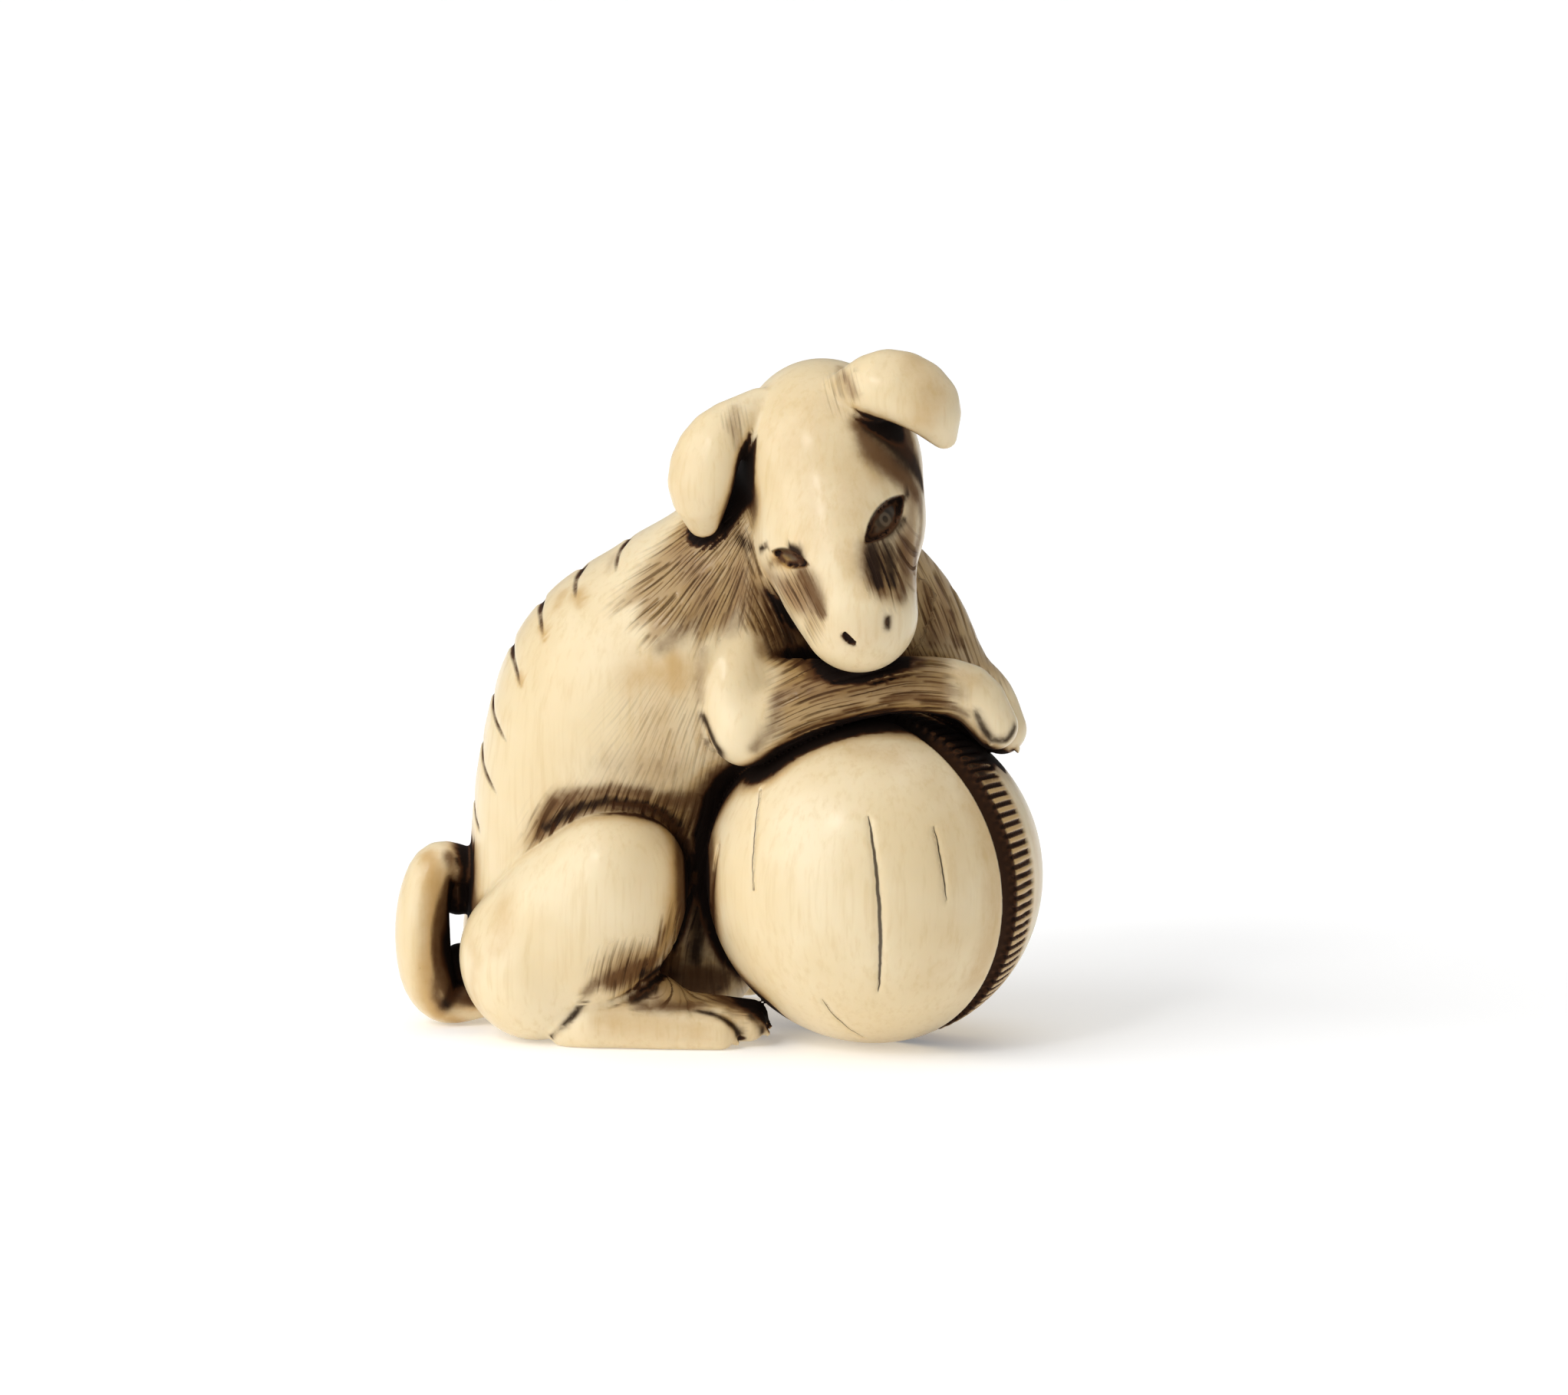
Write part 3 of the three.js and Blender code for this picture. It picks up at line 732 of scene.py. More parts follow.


# ---- Stain, painted shade and polish -------------------------------------------------------
# The finished carving was steeped in a brown stain and rubbed back: it stays dark in every
# cut and hollow, golden where hands rarely reach, and cream on the rubbed heights. Painted
# shade darkens the deeper hollows and the gaps between forms further, and golden painted shade
# lies on the sides away from the light.
# Brush strokes of stain and of painted shade: strength, then points of x, y, z and the
# brush's radius.
# Ink in the cuts, creases and nostrils. The strokes under the right ear, in the gap between the
# near knee and the ball, and along the underside of the near forearm where it lies on the ball are
# painted shade.
INK_AND_SHADE = [
    (1.0, [(8.1, -6.4, 33.8, 0.54), (9.0, -6.1, 33.3, 0.79), (9.8, -5.7, 32.4, 0.92),
        (10.6, -4.9, 31.5, 0.83), (11.0, -4.3, 30.4, 0.5)]),
    (0.9, [(8.3, -9.9, 27.8, 0.46), (8.4, -10.4, 26.8, 0.58), (8.6, -10.8, 25.9, 0.33)]),
    (0.75, [(9.0, -9.5, 27.7, 0.62), (9.2, -9.9, 26.8, 0.58), (9.4, -10.3, 25.9, 0.37)]),
    (0.4, [(9.8, -8.9, 27.4, 0.42), (10.0, -9.2, 26.4, 0.33)]),
    (1.0, [(8.1, -9.4, 28.0, 0.17), (8.3, -9.0, 28.7, 0.12)]),
    (1.0, [(3.9, -9.0, 27.6, 0.17), (4.3, -9.4, 27.4, 0.25), (4.7, -9.5, 26.9, 0.21)]),
    (0.9, [(2.3, -6.4, 27.1, 0.17), (2.6, -7.3, 27.5, 0.12)]),
    (0.6, [(1.1, -5.2, 27.6, 0.33), (1.6, -5.5, 27.1, 0.29)]),
    (0.8, [(3.1, -5.4, 24.0, 0.29), (3.6, -5.2, 23.0, 0.37), (3.9, -5.0, 21.8, 0.37)]),
    (0.9, [(-0.7, -7.1, 18.1, 0.25), (-0.4, -7.4, 17.2, 0.29), (0.1, -7.7, 16.4, 0.29),
        (0.8, -5.3, 15.3, 0.29), (1.6, -5.2, 14.9, 0.25), (2.2, -6.5, 15.3, 0.21)]),
    (1.0, [(4.5, -7.9, 17.2, 0.21), (6.0, -7.0, 17.3, 0.33), (7.2, -6.7, 17.7, 0.46),
        (8.9, -7.3, 18.3, 0.62), (10.6, -4.8, 17.9, 0.71), (12.0, -5.3, 17.3, 0.83),
        (13.1, -6.6, 16.5, 0.75), (14.1, -7.7, 15.3, 0.58)]),
    (0.8, [(16.0, -7.1, 17.6, 0.21), (15.5, -7.3, 16.9, 0.21), (14.7, -7.5, 17.0, 0.21),
        (14.2, -7.6, 17.6, 0.25), (13.9, -7.7, 18.4, 0.21)]),
    (1.0, [(7.2, -7.3, 17.9, 0.33), (8.9, -4.9, 17.7, 0.42), (10.8, -5.6, 17.7, 0.54),
        (12.3, -6.4, 17.0, 0.58), (13.5, -7.5, 15.8, 0.54)]),
    (0.9, [(9.9, -7.0, 29.9, 0.21), (10.2, -6.5, 30.2, 0.17)]),
    (0.85, [(-9.3, -4.9, 11.7, 0.25), (-8.4, -5.3, 12.4, 0.33), (-7.3, -5.7, 13.0, 0.33),
        (-5.9, -5.9, 13.4, 0.29), (-4.2, -5.5, 13.1, 0.29), (-3.1, -4.8, 12.6, 0.33),
        (-2.2, -4.0, 11.6, 0.37)]),
    (0.7, [(8.4, -9.6, 28.1, 0.33), (9.0, -9.2, 28.2, 0.37), (9.6, -8.5, 28.5, 0.33),
        (10.0, -7.7, 28.9, 0.25)]),
    (0.9, [(-9.0, -6.4, 0.5, 0.12), (-8.2, -7.2, 1.4, 0.17), (-7.6, -7.4, 2.1, 0.17),
        (-7.2, -7.7, 2.7, 0.17)]),
    (0.9, [(-4.5, -7.2, 2.7, 0.29), (-3.6, -6.8, 3.2, 0.37), (-2.4, -2.2, 3.1, 0.42)]),
    (0.7, [(-4.1, -7.2, 4.1, 0.33), (-3.4, -6.2, 4.2, 0.33)]),
    (0.9, [(-1.3, -7.2, 2.1, 0.12), (-0.3, -7.2, 1.9, 0.17), (0.6, -7.5, 1.5, 0.21),
        (1.1, -7.1, 0.8, 0.21)]),
    (0.9, [(0.0, -1.5, 2.3, 0.17), (1.0, -5.6, 2.4, 0.21), (1.8, -6.9, 1.8, 0.25),
        (2.4, -6.6, 0.9, 0.25)]),
    (1.0, [(-14.1, -0.6, 9.2, 0.25), (-13.9, -0.1, 7.9, 0.29), (-14.0, 0.6, 6.4, 0.29)]),
    (1.0, [(-14.4, 0.8, 3.9, 0.46), (-14.4, 0.3, 2.8, 0.58), (-14.5, -0.8, 1.9, 0.54),
        (-14.8, -1.1, 1.4, 0.37)]),
    (0.85, [(-1.1, -3.2, 9.3, 0.5), (-1.0, -3.0, 7.6, 0.54), (-1.1, -2.8, 5.6, 0.54),
        (-1.3, -2.5, 4.1, 0.5)]),
    (0.9, [(6.7, -11.3, 23.2, 0.1), (7.0, -11.1, 22.9, 0.15), (7.3, -11.2, 22.7, 0.1)]),
    (0.9, [(9.1, -11.1, 24.1, 0.17), (9.1, -11.2, 23.6, 0.17)]),
]
# Brown stain. The strokes under the right ear and along the lower side of the near forearm, over
# the ball, are painted shade.
UMBER_AND_SHADE = [
    (1.0, [(7.6, -6.6, 33.8, 0.58), (8.2, -7.0, 32.7, 0.79), (9.1, -6.7, 31.9, 0.92),
        (10.1, -6.1, 31.1, 0.87), (10.6, -5.8, 30.1, 0.62)]),
    (0.75, [(8.1, -10.1, 27.6, 0.75), (8.2, -10.6, 26.5, 0.75), (8.8, -10.9, 25.5, 0.5)]),
    (0.75, [(9.8, -8.6, 27.7, 0.83), (10.1, -9.1, 26.4, 0.67), (9.8, -10.3, 25.2, 0.5)]),
    (0.65, [(10.8, -4.7, 30.8, 0.58), (10.9, -5.7, 29.3, 0.54), (10.8, -6.3, 27.7, 0.54),
        (10.6, -7.8, 26.2, 0.46)]),
    (0.85, [(4.5, -9.8, 26.3, 0.58), (4.9, -10.2, 25.7, 0.67), (5.3, -10.6, 24.9, 0.54),
        (5.6, -10.9, 24.3, 0.33)]),
    (0.7, [(3.4, -8.4, 26.8, 0.29), (2.8, -7.2, 26.4, 0.25)]),
    (0.6, [(-1.3, -6.5, 23.1, 0.75), (-2.3, -6.7, 22.5, 0.75), (-3.1, -6.8, 21.8, 0.5)]),
    (0.5, [(2.0, -5.6, 24.8, 0.5), (2.1, -5.7, 23.4, 0.62), (2.3, -6.4, 21.6, 0.46)]),
    (0.5, [(3.9, -8.0, 19.7, 0.75), (6.0, -8.4, 19.6, 0.79), (8.5, -8.2, 20.0, 0.71),
        (11.0, -7.8, 20.3, 0.67), (13.0, -7.8, 19.5, 0.58)]),
    (0.6, [(3.3, -8.0, 19.5, 0.58), (3.0, -8.6, 17.9, 0.5), (2.0, -8.5, 16.7, 0.42)]),
    (0.75, [(8.9, -8.1, 19.2, 0.29), (10.3, -8.0, 19.4, 0.37), (11.8, -7.8, 19.1, 0.37),
        (13.3, -7.5, 18.3, 0.33)]),
    (0.7, [(3.3, -8.1, 16.8, 0.21), (4.5, -8.2, 17.5, 0.29), (6.0, -8.2, 18.2, 0.33),
        (7.6, -8.2, 18.8, 0.33)]),
    (0.85, [(-9.7, -4.7, 11.2, 0.29), (-9.3, -5.0, 12.3, 0.46), (-8.8, -5.3, 13.2, 0.5)]),
    (0.7, [(-8.4, -5.5, 13.4, 0.58), (-7.1, -5.9, 13.7, 0.46), (-5.7, -6.1, 14.0, 0.42),
        (-3.8, -5.7, 13.7, 0.5)]),
    (0.85, [(-2.9, -5.1, 13.3, 0.58), (-1.6, -4.4, 13.1, 0.83), (-0.5, -4.1, 13.6, 0.71),
        (0.2, -5.1, 15.1, 0.42)]),
    (0.95, [(-3.6, -7.1, 4.7, 0.62), (-4.8, -7.8, 4.3, 0.75), (-5.8, -8.1, 3.9, 0.62)]),
    (0.7, [(-7.1, -8.0, 3.2, 0.33), (-6.5, -8.2, 3.8, 0.42)]),
    (0.6, [(-2.9, -7.4, 6.5, 0.29), (-3.4, -7.4, 5.4, 0.33), (-3.8, -7.4, 4.9, 0.29)]),
    (0.85, [(-4.3, -7.5, 2.3, 0.37), (-3.2, -7.4, 2.4, 0.46), (-1.9, -7.1, 2.3, 0.42),
        (-0.9, -6.8, 2.4, 0.33)]),
    (0.6, [(-0.3, -6.1, 2.5, 0.33), (0.8, -6.9, 1.9, 0.33)]),
    (0.9, [(-14.6, -0.7, 9.4, 0.42), (-14.5, -0.4, 8.0, 0.46), (-14.6, 0.6, 6.4, 0.42),
        (-14.8, -0.8, 5.3, 0.29)]),
    (0.85, [(-15.0, -1.4, 3.7, 0.37), (-15.3, -1.6, 2.7, 0.37), (-15.3, -1.4, 1.8, 0.37),
        (-15.0, -1.2, 1.2, 0.29)]),
    (0.6, [(12.6, -0.8, 22.8, 0.33), (13.0, -2.2, 21.3, 0.37)]),
    (0.65, [(11.3, -0.8, 24.3, 0.42), (11.4, -1.7, 22.7, 0.42), (11.5, -2.3, 21.4, 0.37)]),
]
# Golden stain. The broad strokes over the forehead, the right ear and the right side of the ball
# are painted shade: darker gold on the side away from the light.
HONEY_AND_SHADE = [
    (0.4, [(4.3, -6.1, 34.6, 1.91), (4.5, -7.8, 31.5, 2.08), (4.7, -9.2, 28.8, 1.83)]),
    (0.45, [(7.1, -7.6, 32.3, 1.08), (7.1, -9.4, 29.2, 1.0)]),
    (0.5, [(7.0, -10.4, 27.5, 0.58), (7.3, -10.8, 26.4, 0.5), (7.8, -11.2, 25.5, 0.42)]),
    (0.6, [(8.0, -7.3, 32.3, 0.75), (8.6, -7.6, 31.1, 0.67)]),
    (0.9, [(3.1, -7.9, 26.8, 0.37), (3.8, -9.0, 26.6, 0.29)]),
    (0.9, [(-2.4, -7.1, 21.1, 0.58), (-2.2, -7.2, 20.0, 0.75)]),
    (0.5, [(-3.1, -7.2, 19.4, 1.25), (-3.1, -6.9, 17.0, 1.33), (-3.4, -6.2, 15.0, 1.08)]),
    (0.9, [(-7.6, -2.7, 24.2, 0.42), (-7.3, -3.5, 23.8, 0.33)]),
    (0.6, [(-8.4, -1.7, 24.0, 0.42), (-8.7, -2.3, 23.5, 0.37)]),
    (0.9, [(-9.6, -2.3, 22.4, 0.21), (-9.3, -3.5, 21.8, 0.17)]),
    (0.9, [(-10.8, -2.9, 19.7, 0.21), (-10.6, -3.5, 19.3, 0.17)]),
    (1.0, [(-3.3, -4.9, 12.2, 0.42), (-2.5, -5.6, 11.3, 0.54), (-2.2, -6.7, 9.8, 0.58),
        (-2.3, -7.0, 8.2, 0.62), (-2.5, -6.9, 6.6, 0.67), (-3.0, -6.9, 5.3, 0.54)]),
    (0.95, [(-15.8, -0.7, 9.5, 0.42), (-15.4, -1.4, 8.2, 0.58), (-15.4, -1.6, 6.5, 0.58),
        (-15.5, -1.8, 4.8, 0.58), (-15.8, -1.8, 3.2, 0.58), (-15.8, -1.5, 1.8, 0.54),
        (-15.2, -0.9, 0.7, 0.42)]),
    (0.9, [(-14.6, -0.6, 0.4, 0.37), (-14.0, -0.1, 0.2, 0.29)]),
    (0.5, [(-13.3, -0.7, 10.2, 0.37), (-13.1, -1.5, 7.7, 0.42), (-13.0, -6.3, 4.7, 0.46),
        (-13.0, -5.2, 1.9, 0.42)]),
    (0.5, [(-11.5, -6.4, 7.7, 0.75), (-11.9, -7.0, 5.7, 0.75)]),
    (0.5, [(14.0, -7.4, 20.1, 0.5), (12.6, -7.5, 20.5, 0.5)]),
    (0.5, [(15.1, -7.5, 18.4, 0.42)]),
    (0.3, [(-2.1, -5.4, 31.5, 0.83), (-1.9, -5.8, 30.3, 0.75)]),
    (0.6, [(10.6, -6.2, 37.1, 0.83), (11.4, -7.1, 35.6, 1.08), (11.0, -7.4, 34.3, 0.75)]),
    (0.6, [(12.4, -7.4, 16.1, 0.75), (13.9, -9.8, 13.7, 0.92), (14.7, -10.5, 10.9, 0.92),
        (14.8, -10.5, 7.5, 0.83), (13.9, -9.9, 4.4, 0.83)]),
    (0.3, [(10.1, -8.2, 17.0, 0.75), (11.4, -10.0, 15.4, 1.08), (12.6, -11.4, 12.7, 1.25),
        (12.8, -12.2, 8.6, 1.42), (11.6, -11.6, 4.7, 1.25)]),
    (0.6, [(-0.4, -5.8, 10.1, 0.33), (-0.3, -6.0, 7.2, 0.33)]),
    (0.55, [(-6.1, -7.8, 1.6, 0.83), (-3.6, -7.9, 1.6, 0.92), (-1.1, -8.1, 1.0, 0.83)]),
    (0.35, [(6.0, -11.1, 23.6, 1.08), (8.1, -11.5, 23.2, 1.08)]),
    (0.7, [(-4.0, -7.0, 20.4, 1.08), (-1.9, -7.2, 20.4, 1.08)]),
    (0.45, [(7.2, -8.9, 16.7, 0.67), (9.3, -9.5, 16.4, 0.92)]),
    (0.5, [(17.0, -6.2, 11.4, 0.58), (17.2, -6.5, 8.1, 0.58)]),
]
PLUM = [
    (0.8, [(6.6, -3.0, 36.5, 0.29), (6.9, -6.0, 36.3, 0.37), (7.3, -6.6, 35.5, 0.33)]),
    (0.6, [(0.9, -4.7, 34.6, 0.33), (0.8, -5.4, 33.6, 0.42), (1.1, -5.7, 32.6, 0.33)]),
    (0.9, [(2.8, -6.7, 25.8, 0.54), (3.7, -8.9, 25.4, 0.71), (4.6, -9.9, 24.6, 0.67)]),
    (0.6, [(-2.1, -4.0, 26.7, 0.67), (-1.3, -5.1, 25.8, 0.92), (-0.5, -6.1, 24.1, 0.92)]),
    (0.7, [(1.2, -5.5, 25.9, 0.67), (1.2, -5.9, 24.0, 0.75), (0.6, -6.3, 22.8, 0.58)]),
    (0.6, [(-0.8, -6.9, 21.7, 0.37), (-1.0, -7.2, 20.4, 0.42), (-0.9, -7.2, 19.0, 0.33)]),
    (0.7, [(5.1, -7.8, 20.3, 0.58), (6.2, -8.3, 20.0, 0.5), (5.1, -8.4, 19.6, 0.42)]),
    (0.5, [(-8.7, -5.4, 13.2, 0.5), (-7.8, -5.7, 13.7, 0.5), (-3.9, -5.9, 14.1, 0.58)]),
    (0.5, [(-5.7, -1.1, 26.0, 0.37), (-5.9, -2.5, 25.4, 0.29)]),
    (0.4, [(-5.7, -6.4, 15.3, 1.42), (-2.4, -6.0, 15.2, 1.08)]),
    (0.7, [(12.0, 0.3, 24.3, 0.5), (12.3, -1.1, 22.8, 0.58), (12.0, -2.2, 21.6, 0.5)]),
    (0.9, [(10.5, -6.4, 29.8, 0.62), (10.3, -7.3, 28.5, 0.71), (10.3, -8.2, 26.9, 0.71)]),
    (0.6, [(8.9, -6.8, 32.2, 0.67), (9.8, -6.6, 31.0, 0.58)]),
]


NECK_HEIGHT, CHEST_FRONT = 25, 2.5  # strokes below and behind these are on both sides


def brushed(p, brush_strokes, spread=1.0):
    """How much stain or painted shade the brush leaves. Trunk and leg strokes are on both sides."""
    most = np.zeros(len(p))
    for strength, rows in brush_strokes:
        rows = np.array(rows)
        sides = [rows]
        if rows[:, 2].max() < NECK_HEIGHT and rows[:, 0].max() < CHEST_FRONT:
            sides.append(rows * (1, -1, 1, 1) + (0, 2 * MIDLINE, 0, 0))
        for side in sides:
            for a, b in zip(side, side[1:]):
                pull = (b - a)[:3]
                t = np.clip((p - a[:3]) @ pull / (pull @ pull), 0, 1)
                away = np.linalg.norm(p - a[:3] - t[:, None] * pull, axis=1)
                reach = spread * (a[3] + t * (b[3] - a[3]))
                most = np.maximum(most, strength * np.exp(-0.75 * (away / reach) ** 2))
    return most


p = vertex_vectors(thinned, "co") / MM - TO_FRAME
n = vertex_vectors(thinned, "normal")
on = owners(p)


def closed_in(reach):
    """How much the walls of a hollow stand round each place: 0 in the open, 1 shut in."""
    return 1 - np.clip(in_parts(carving, p + n * reach) / reach, 0, 1)


tight, hollow, wide = closed_in(0.35), closed_in(0.9), closed_in(2.2)


def keep(name, kind, values):
    made = thinned.attributes.new(name, kind, "POINT")
    field_name = "value" if kind == "FLOAT" else "vector"
    made.data.foreach_set(field_name, np.asarray(values, np.float32).ravel())


_, arc, h = stitches(p)
# Stain in the cuts and creases, and painted shade: the deeper hollows and the gaps between forms
# darken the more they are shut in.
stain_and_shade = np.maximum(ramp(tight, 0.1, 0.6), ramp(hollow, 0.22, 0.7)) * 0.9
stain_and_shade = stain_and_shade + 0.35 * ramp(wide, 0.5, 1.0)
keep("recess_stain_and_shade", "FLOAT", np.clip(np.maximum(stain_and_shade, spine_nicks(p) * on["trunk"]), 0, 1))
# Ink strokes, and the strokes of painted shade among them.
keep("ink_and_shade", "FLOAT", brushed(p, INK_AND_SHADE))
tick_stain = on["ball"] * ramp(-h, 0.4, 0.7) * ramp(h, -3.2, -2.2)
# Brown stain from the strokes, and painted shade: brown in the wide hollows.
brown_and_shade = np.maximum(brushed(p, UMBER_AND_SHADE), 0.8 * brushed(p, INK_AND_SHADE, 1.6))
brown_and_shade = np.maximum(brown_and_shade, 0.8 * ramp(wide, 0.4, 0.9))
# Golden stain from the strokes and stitches, and painted shade: gold in the wide hollows.
warm_and_shade = np.maximum(brushed(p, HONEY_AND_SHADE, 1.35), 0.6 * brushed(p, UMBER_AND_SHADE, 1.6))
warm_and_shade = np.maximum(warm_and_shade, np.maximum(0.7 * ramp(wide, 0.15, 0.6), tick_stain))
keep("washes_and_shade", "FLOAT_VECTOR", np.stack([brown_and_shade, warm_and_shade, brushed(p, PLUM)], 1))
keep("coarse_hair", "FLOAT_VECTOR", charts(p, on, COARSE_HAIR))
keep("fine_hair", "FLOAT_VECTOR", charts(p, on, FINE_HAIR))
keep("lacing", "FLOAT_VECTOR", np.stack([arc, h, on["ball"]], 1))
keep("eye", "FLOAT_VECTOR", eye_chart(p))


def tone(r, g, b):
    """A colour as mixed on the palette, 0 to 255, for the shader."""
    shares = (c / 255 for c in (r, g, b))
    return (*(((c + 0.055) / 1.055) ** 2.4 if c > 0.04 else c / 12.92 for c in shares), 1)


class Bench:
    """Adds and wires the nodes of one material or group."""

    def __init__(self, tree):
        self.tree = tree

    def add(self, kind, inputs=None, **settings):
        made = self.tree.nodes.new("ShaderNode" + kind)
        for name, value in settings.items():
            setattr(made, name, value)
        for name, value in (inputs or {}).items():
            self.wire(value, made.inputs[name])
        return made

    def wire(self, value, socket):
        if isinstance(value, bpy.types.NodeSocket):
            self.tree.links.new(value, socket)
        else:
            socket.default_value = value

    def calc(self, operation, *values, clamp=False):
        made = self.add("Math", dict(enumerate(values)), operation=operation, use_clamp=clamp)
        return made.outputs[0]

    def times(self, a, b):
        return self.calc("MULTIPLY", a, b)

    def plus(self, a, b):
        return self.calc("ADD", a, b)

    def minus(self, a, b):
        return self.calc("SUBTRACT", a, b)

    def most(self, a, b):
        return self.calc("MAXIMUM", a, b)

    def ramp(self, value, low, high, start=0.0, end=1.0):
        inputs = {"Value": value, "From Min": low, "From Max": high, "To Min": start, "To Max": end}
        return self.add("MapRange", inputs, interpolation_type="SMOOTHSTEP").outputs[0]

    def mix(self, share, a, b):
        made = self.add("Mix", data_type="RGBA", clamp_factor=True)
        for value, name in ((share, "Factor_Float"), (a, "A_Color"), (b, "B_Color")):
            self.wire(value, next(s for s in made.inputs if s.identifier == name))
        return next(s for s in made.outputs if s.identifier == "Result_Color")

    def split(self, vector):
        return self.add("SeparateXYZ", {0: vector}).outputs

    def noise(self, vector, scale, detail=2.0, rough=0.5):
        inputs = {"Vector": vector, "Scale": scale, "Detail": detail, "Roughness": rough}
        return self.add("TexNoise", inputs).outputs["Fac"]


def new_group(name, takes, gives):
    group = bpy.data.node_groups.new(name, "ShaderNodeTree")
    for direction, sockets in (("INPUT", takes), ("OUTPUT", gives)):
        for socket, kind in sockets:
            group.interface.new_socket(socket, in_out=direction, socket_type="NodeSocket" + kind)
    given = group.nodes.new("NodeGroupInput").outputs
    out = group.nodes.new("NodeGroupOutput").inputs
    return group, Bench(group), given, out


def hair_strokes_group():
    """The same tapering cuts as in strokes(), for the stain that fills them."""
    takes = (("Chart", "Vector"), ("Pitch", "Float"), ("Length", "Float"), ("Width", "Float"))
    gives = (("Strokes", "Float"), ("Strength", "Float"))
    group, b, given, out = new_group("hair_strokes", takes, gives)
    across, along, strong = b.split(given["Chart"])
    first = b.calc("SINE", b.plus(b.times(along, 0.35), b.times(across, 0.5)))
    second = b.calc("SINE", b.minus(b.times(along, 1.3), b.times(across, 0.9)))
    sway = b.plus(b.times(first, 0.5), b.times(second, 0.12))
    lanes = b.plus(b.calc("DIVIDE", across, given["Pitch"]), sway)
    lane = b.calc("FLOOR", lanes)
    aside = b.calc("ABSOLUTE", b.minus(b.minus(lanes, lane), 0.5))
    h1 = b.calc("FRACT", b.times(lane, 0.618))
    h2 = b.calc("FRACT", b.times(lane, 0.7549))
    pace = b.calc("MULTIPLY_ADD", h2, 0.4, 0.8)
    t = b.times(b.calc("DIVIDE", along, given["Length"]), pace)
    t = b.calc("FRACT", b.calc("MULTIPLY_ADD", h1, 3.7, t))
    half = b.times(b.calc("MULTIPLY_ADD", h2, 0.65, 0.35), given["Width"])
    half = b.times(half, b.calc("MULTIPLY_ADD", t, -0.6, 1.0))
    line = b.ramp(b.calc("DIVIDE", aside, half), 0.5, 1.0, 1.0, 0.0)
    line = b.times(line, b.times(b.ramp(t, 0.0, 0.12), b.ramp(t, 0.5, 0.98, 1.0, 0.0)))
    b.wire(b.times(line, strong), out["Strokes"])
    b.wire(strong, out["Strength"])
    return group


HAIR_STROKES = hair_strokes_group()
ivory = bpy.data.materials.new("stained_ivory")
ivory.use_nodes = True
b = Bench(ivory.node_tree)
shader = ivory.node_tree.nodes["Principled BSDF"]
place = b.add("TexCoord").outputs["Object"]


def attribute(name):
    return b.add("Attribute", attribute_name=name).outputs["Vector"]


recess_stain_and_shade = b.add("Attribute", attribute_name="recess_stain_and_shade").outputs["Fac"]
umber_and_shade, honey_and_shade, plum = b.split(attribute("washes_and_shade"))

# Growth of the tusk: broad cloudy bands and a fine upright grain.
clouds = b.noise(place, 160, 3)
stretched = b.add("Mapping", {"Vector": place, "Scale": (1, 1, 0.06)}).outputs[0]
grain = b.noise(stretched, 2600, 3, 0.6)
colour = b.mix(b.ramp(clouds, 0.3, 0.7), tone(238, 221, 185), tone(231, 210, 168))
colour = b.mix(b.ramp(grain, 0.45, 0.75, 0.0, 0.35), colour, tone(214, 186, 132))

# Stain in the cuts of the graver, and in the hairlines between them.
HAIRLINE = {"pitch": 0.23, "length": 2.2, "width": 0.42}
cuts, fine_cuts, strength = [], [], []
for name in ("coarse_hair", "fine_hair"):
    chart = attribute(name)
    for stroke, kept in ((STROKE, cuts), (HAIRLINE, fine_cuts)):
        group = b.add("Group", node_tree=HAIR_STROKES)
        b.wire(chart, group.inputs["Chart"])
        for size, value in stroke.items():
            b.wire(value, group.inputs[size.title()])
        kept.append(group.outputs["Strokes"])
    strength.append(group.outputs["Strength"])
coarse = b.most(*cuts)
fine = b.most(*fine_cuts)
hairy = b.most(*strength)

# Eyes: a dark pupil in a paler ring, between black lids.
lengthwise, up, lids = b.split(attribute("eye"))
from_pupil = b.calc("SQRT", b.plus(b.times(lengthwise, lengthwise), b.times(up, up)))
iris = b.mix(b.ramp(from_pupil, 0.14, 0.24), tone(22, 16, 12), tone(82, 70, 56))
iris = b.mix(b.ramp(from_pupil, 0.34, 0.48), iris, tone(32, 25, 20))
iris = b.mix(b.ramp(from_pupil, 0.56, 0.76), iris, tone(58, 48, 38))
iris = b.mix(b.ramp(from_pupil, 0.85, 1.1), iris, tone(26, 19, 15))
iris = b.mix(b.ramp(lids, -0.3, -0.16), iris, tone(22, 15, 11))
colour = b.mix(b.ramp(lids, 0.1, 0.26, 1.0, 0.0), colour, iris)

# The washes feather out along the hair.
mottle = b.noise(place, 600, 4, 0.65)
feather = b.calc("MULTIPLY_ADD", fine, 0.25, b.times(b.minus(mottle, 0.5), 0.55))
feather = b.calc("MULTIPLY_ADD", coarse, 0.2, feather)


def feathered(amount, low, high, share):
    gate = b.ramp(amount, 0.02, 0.5)
    return b.times(b.ramp(b.calc("MULTIPLY_ADD", feather, gate, amount), low, high), share)


# Golden stain, and painted shade: gold in the wide hollows and on the sides away from the light.
colour = b.mix(feathered(honey_and_shade, 0.0, 1.15, 0.8), colour, tone(190, 147, 76))
colour = b.mix(b.times(b.ramp(hairy, 0.05, 1.0), 0.85), colour, tone(164, 130, 78))
colour = b.mix(feathered(plum, 0.05, 1.1, 0.7), colour, tone(134, 102, 74))
# Brown stain, and painted shade: brown in the wide hollows, under the right ear and under the near
# forearm.
colour = b.mix(feathered(umber_and_shade, 0.05, 0.95, 0.9), colour, tone(92, 58, 28))
colour = b.mix(b.times(fine, 0.5), colour, tone(92, 64, 36))
colour = b.mix(b.times(coarse, 0.65), colour, tone(64, 41, 21))
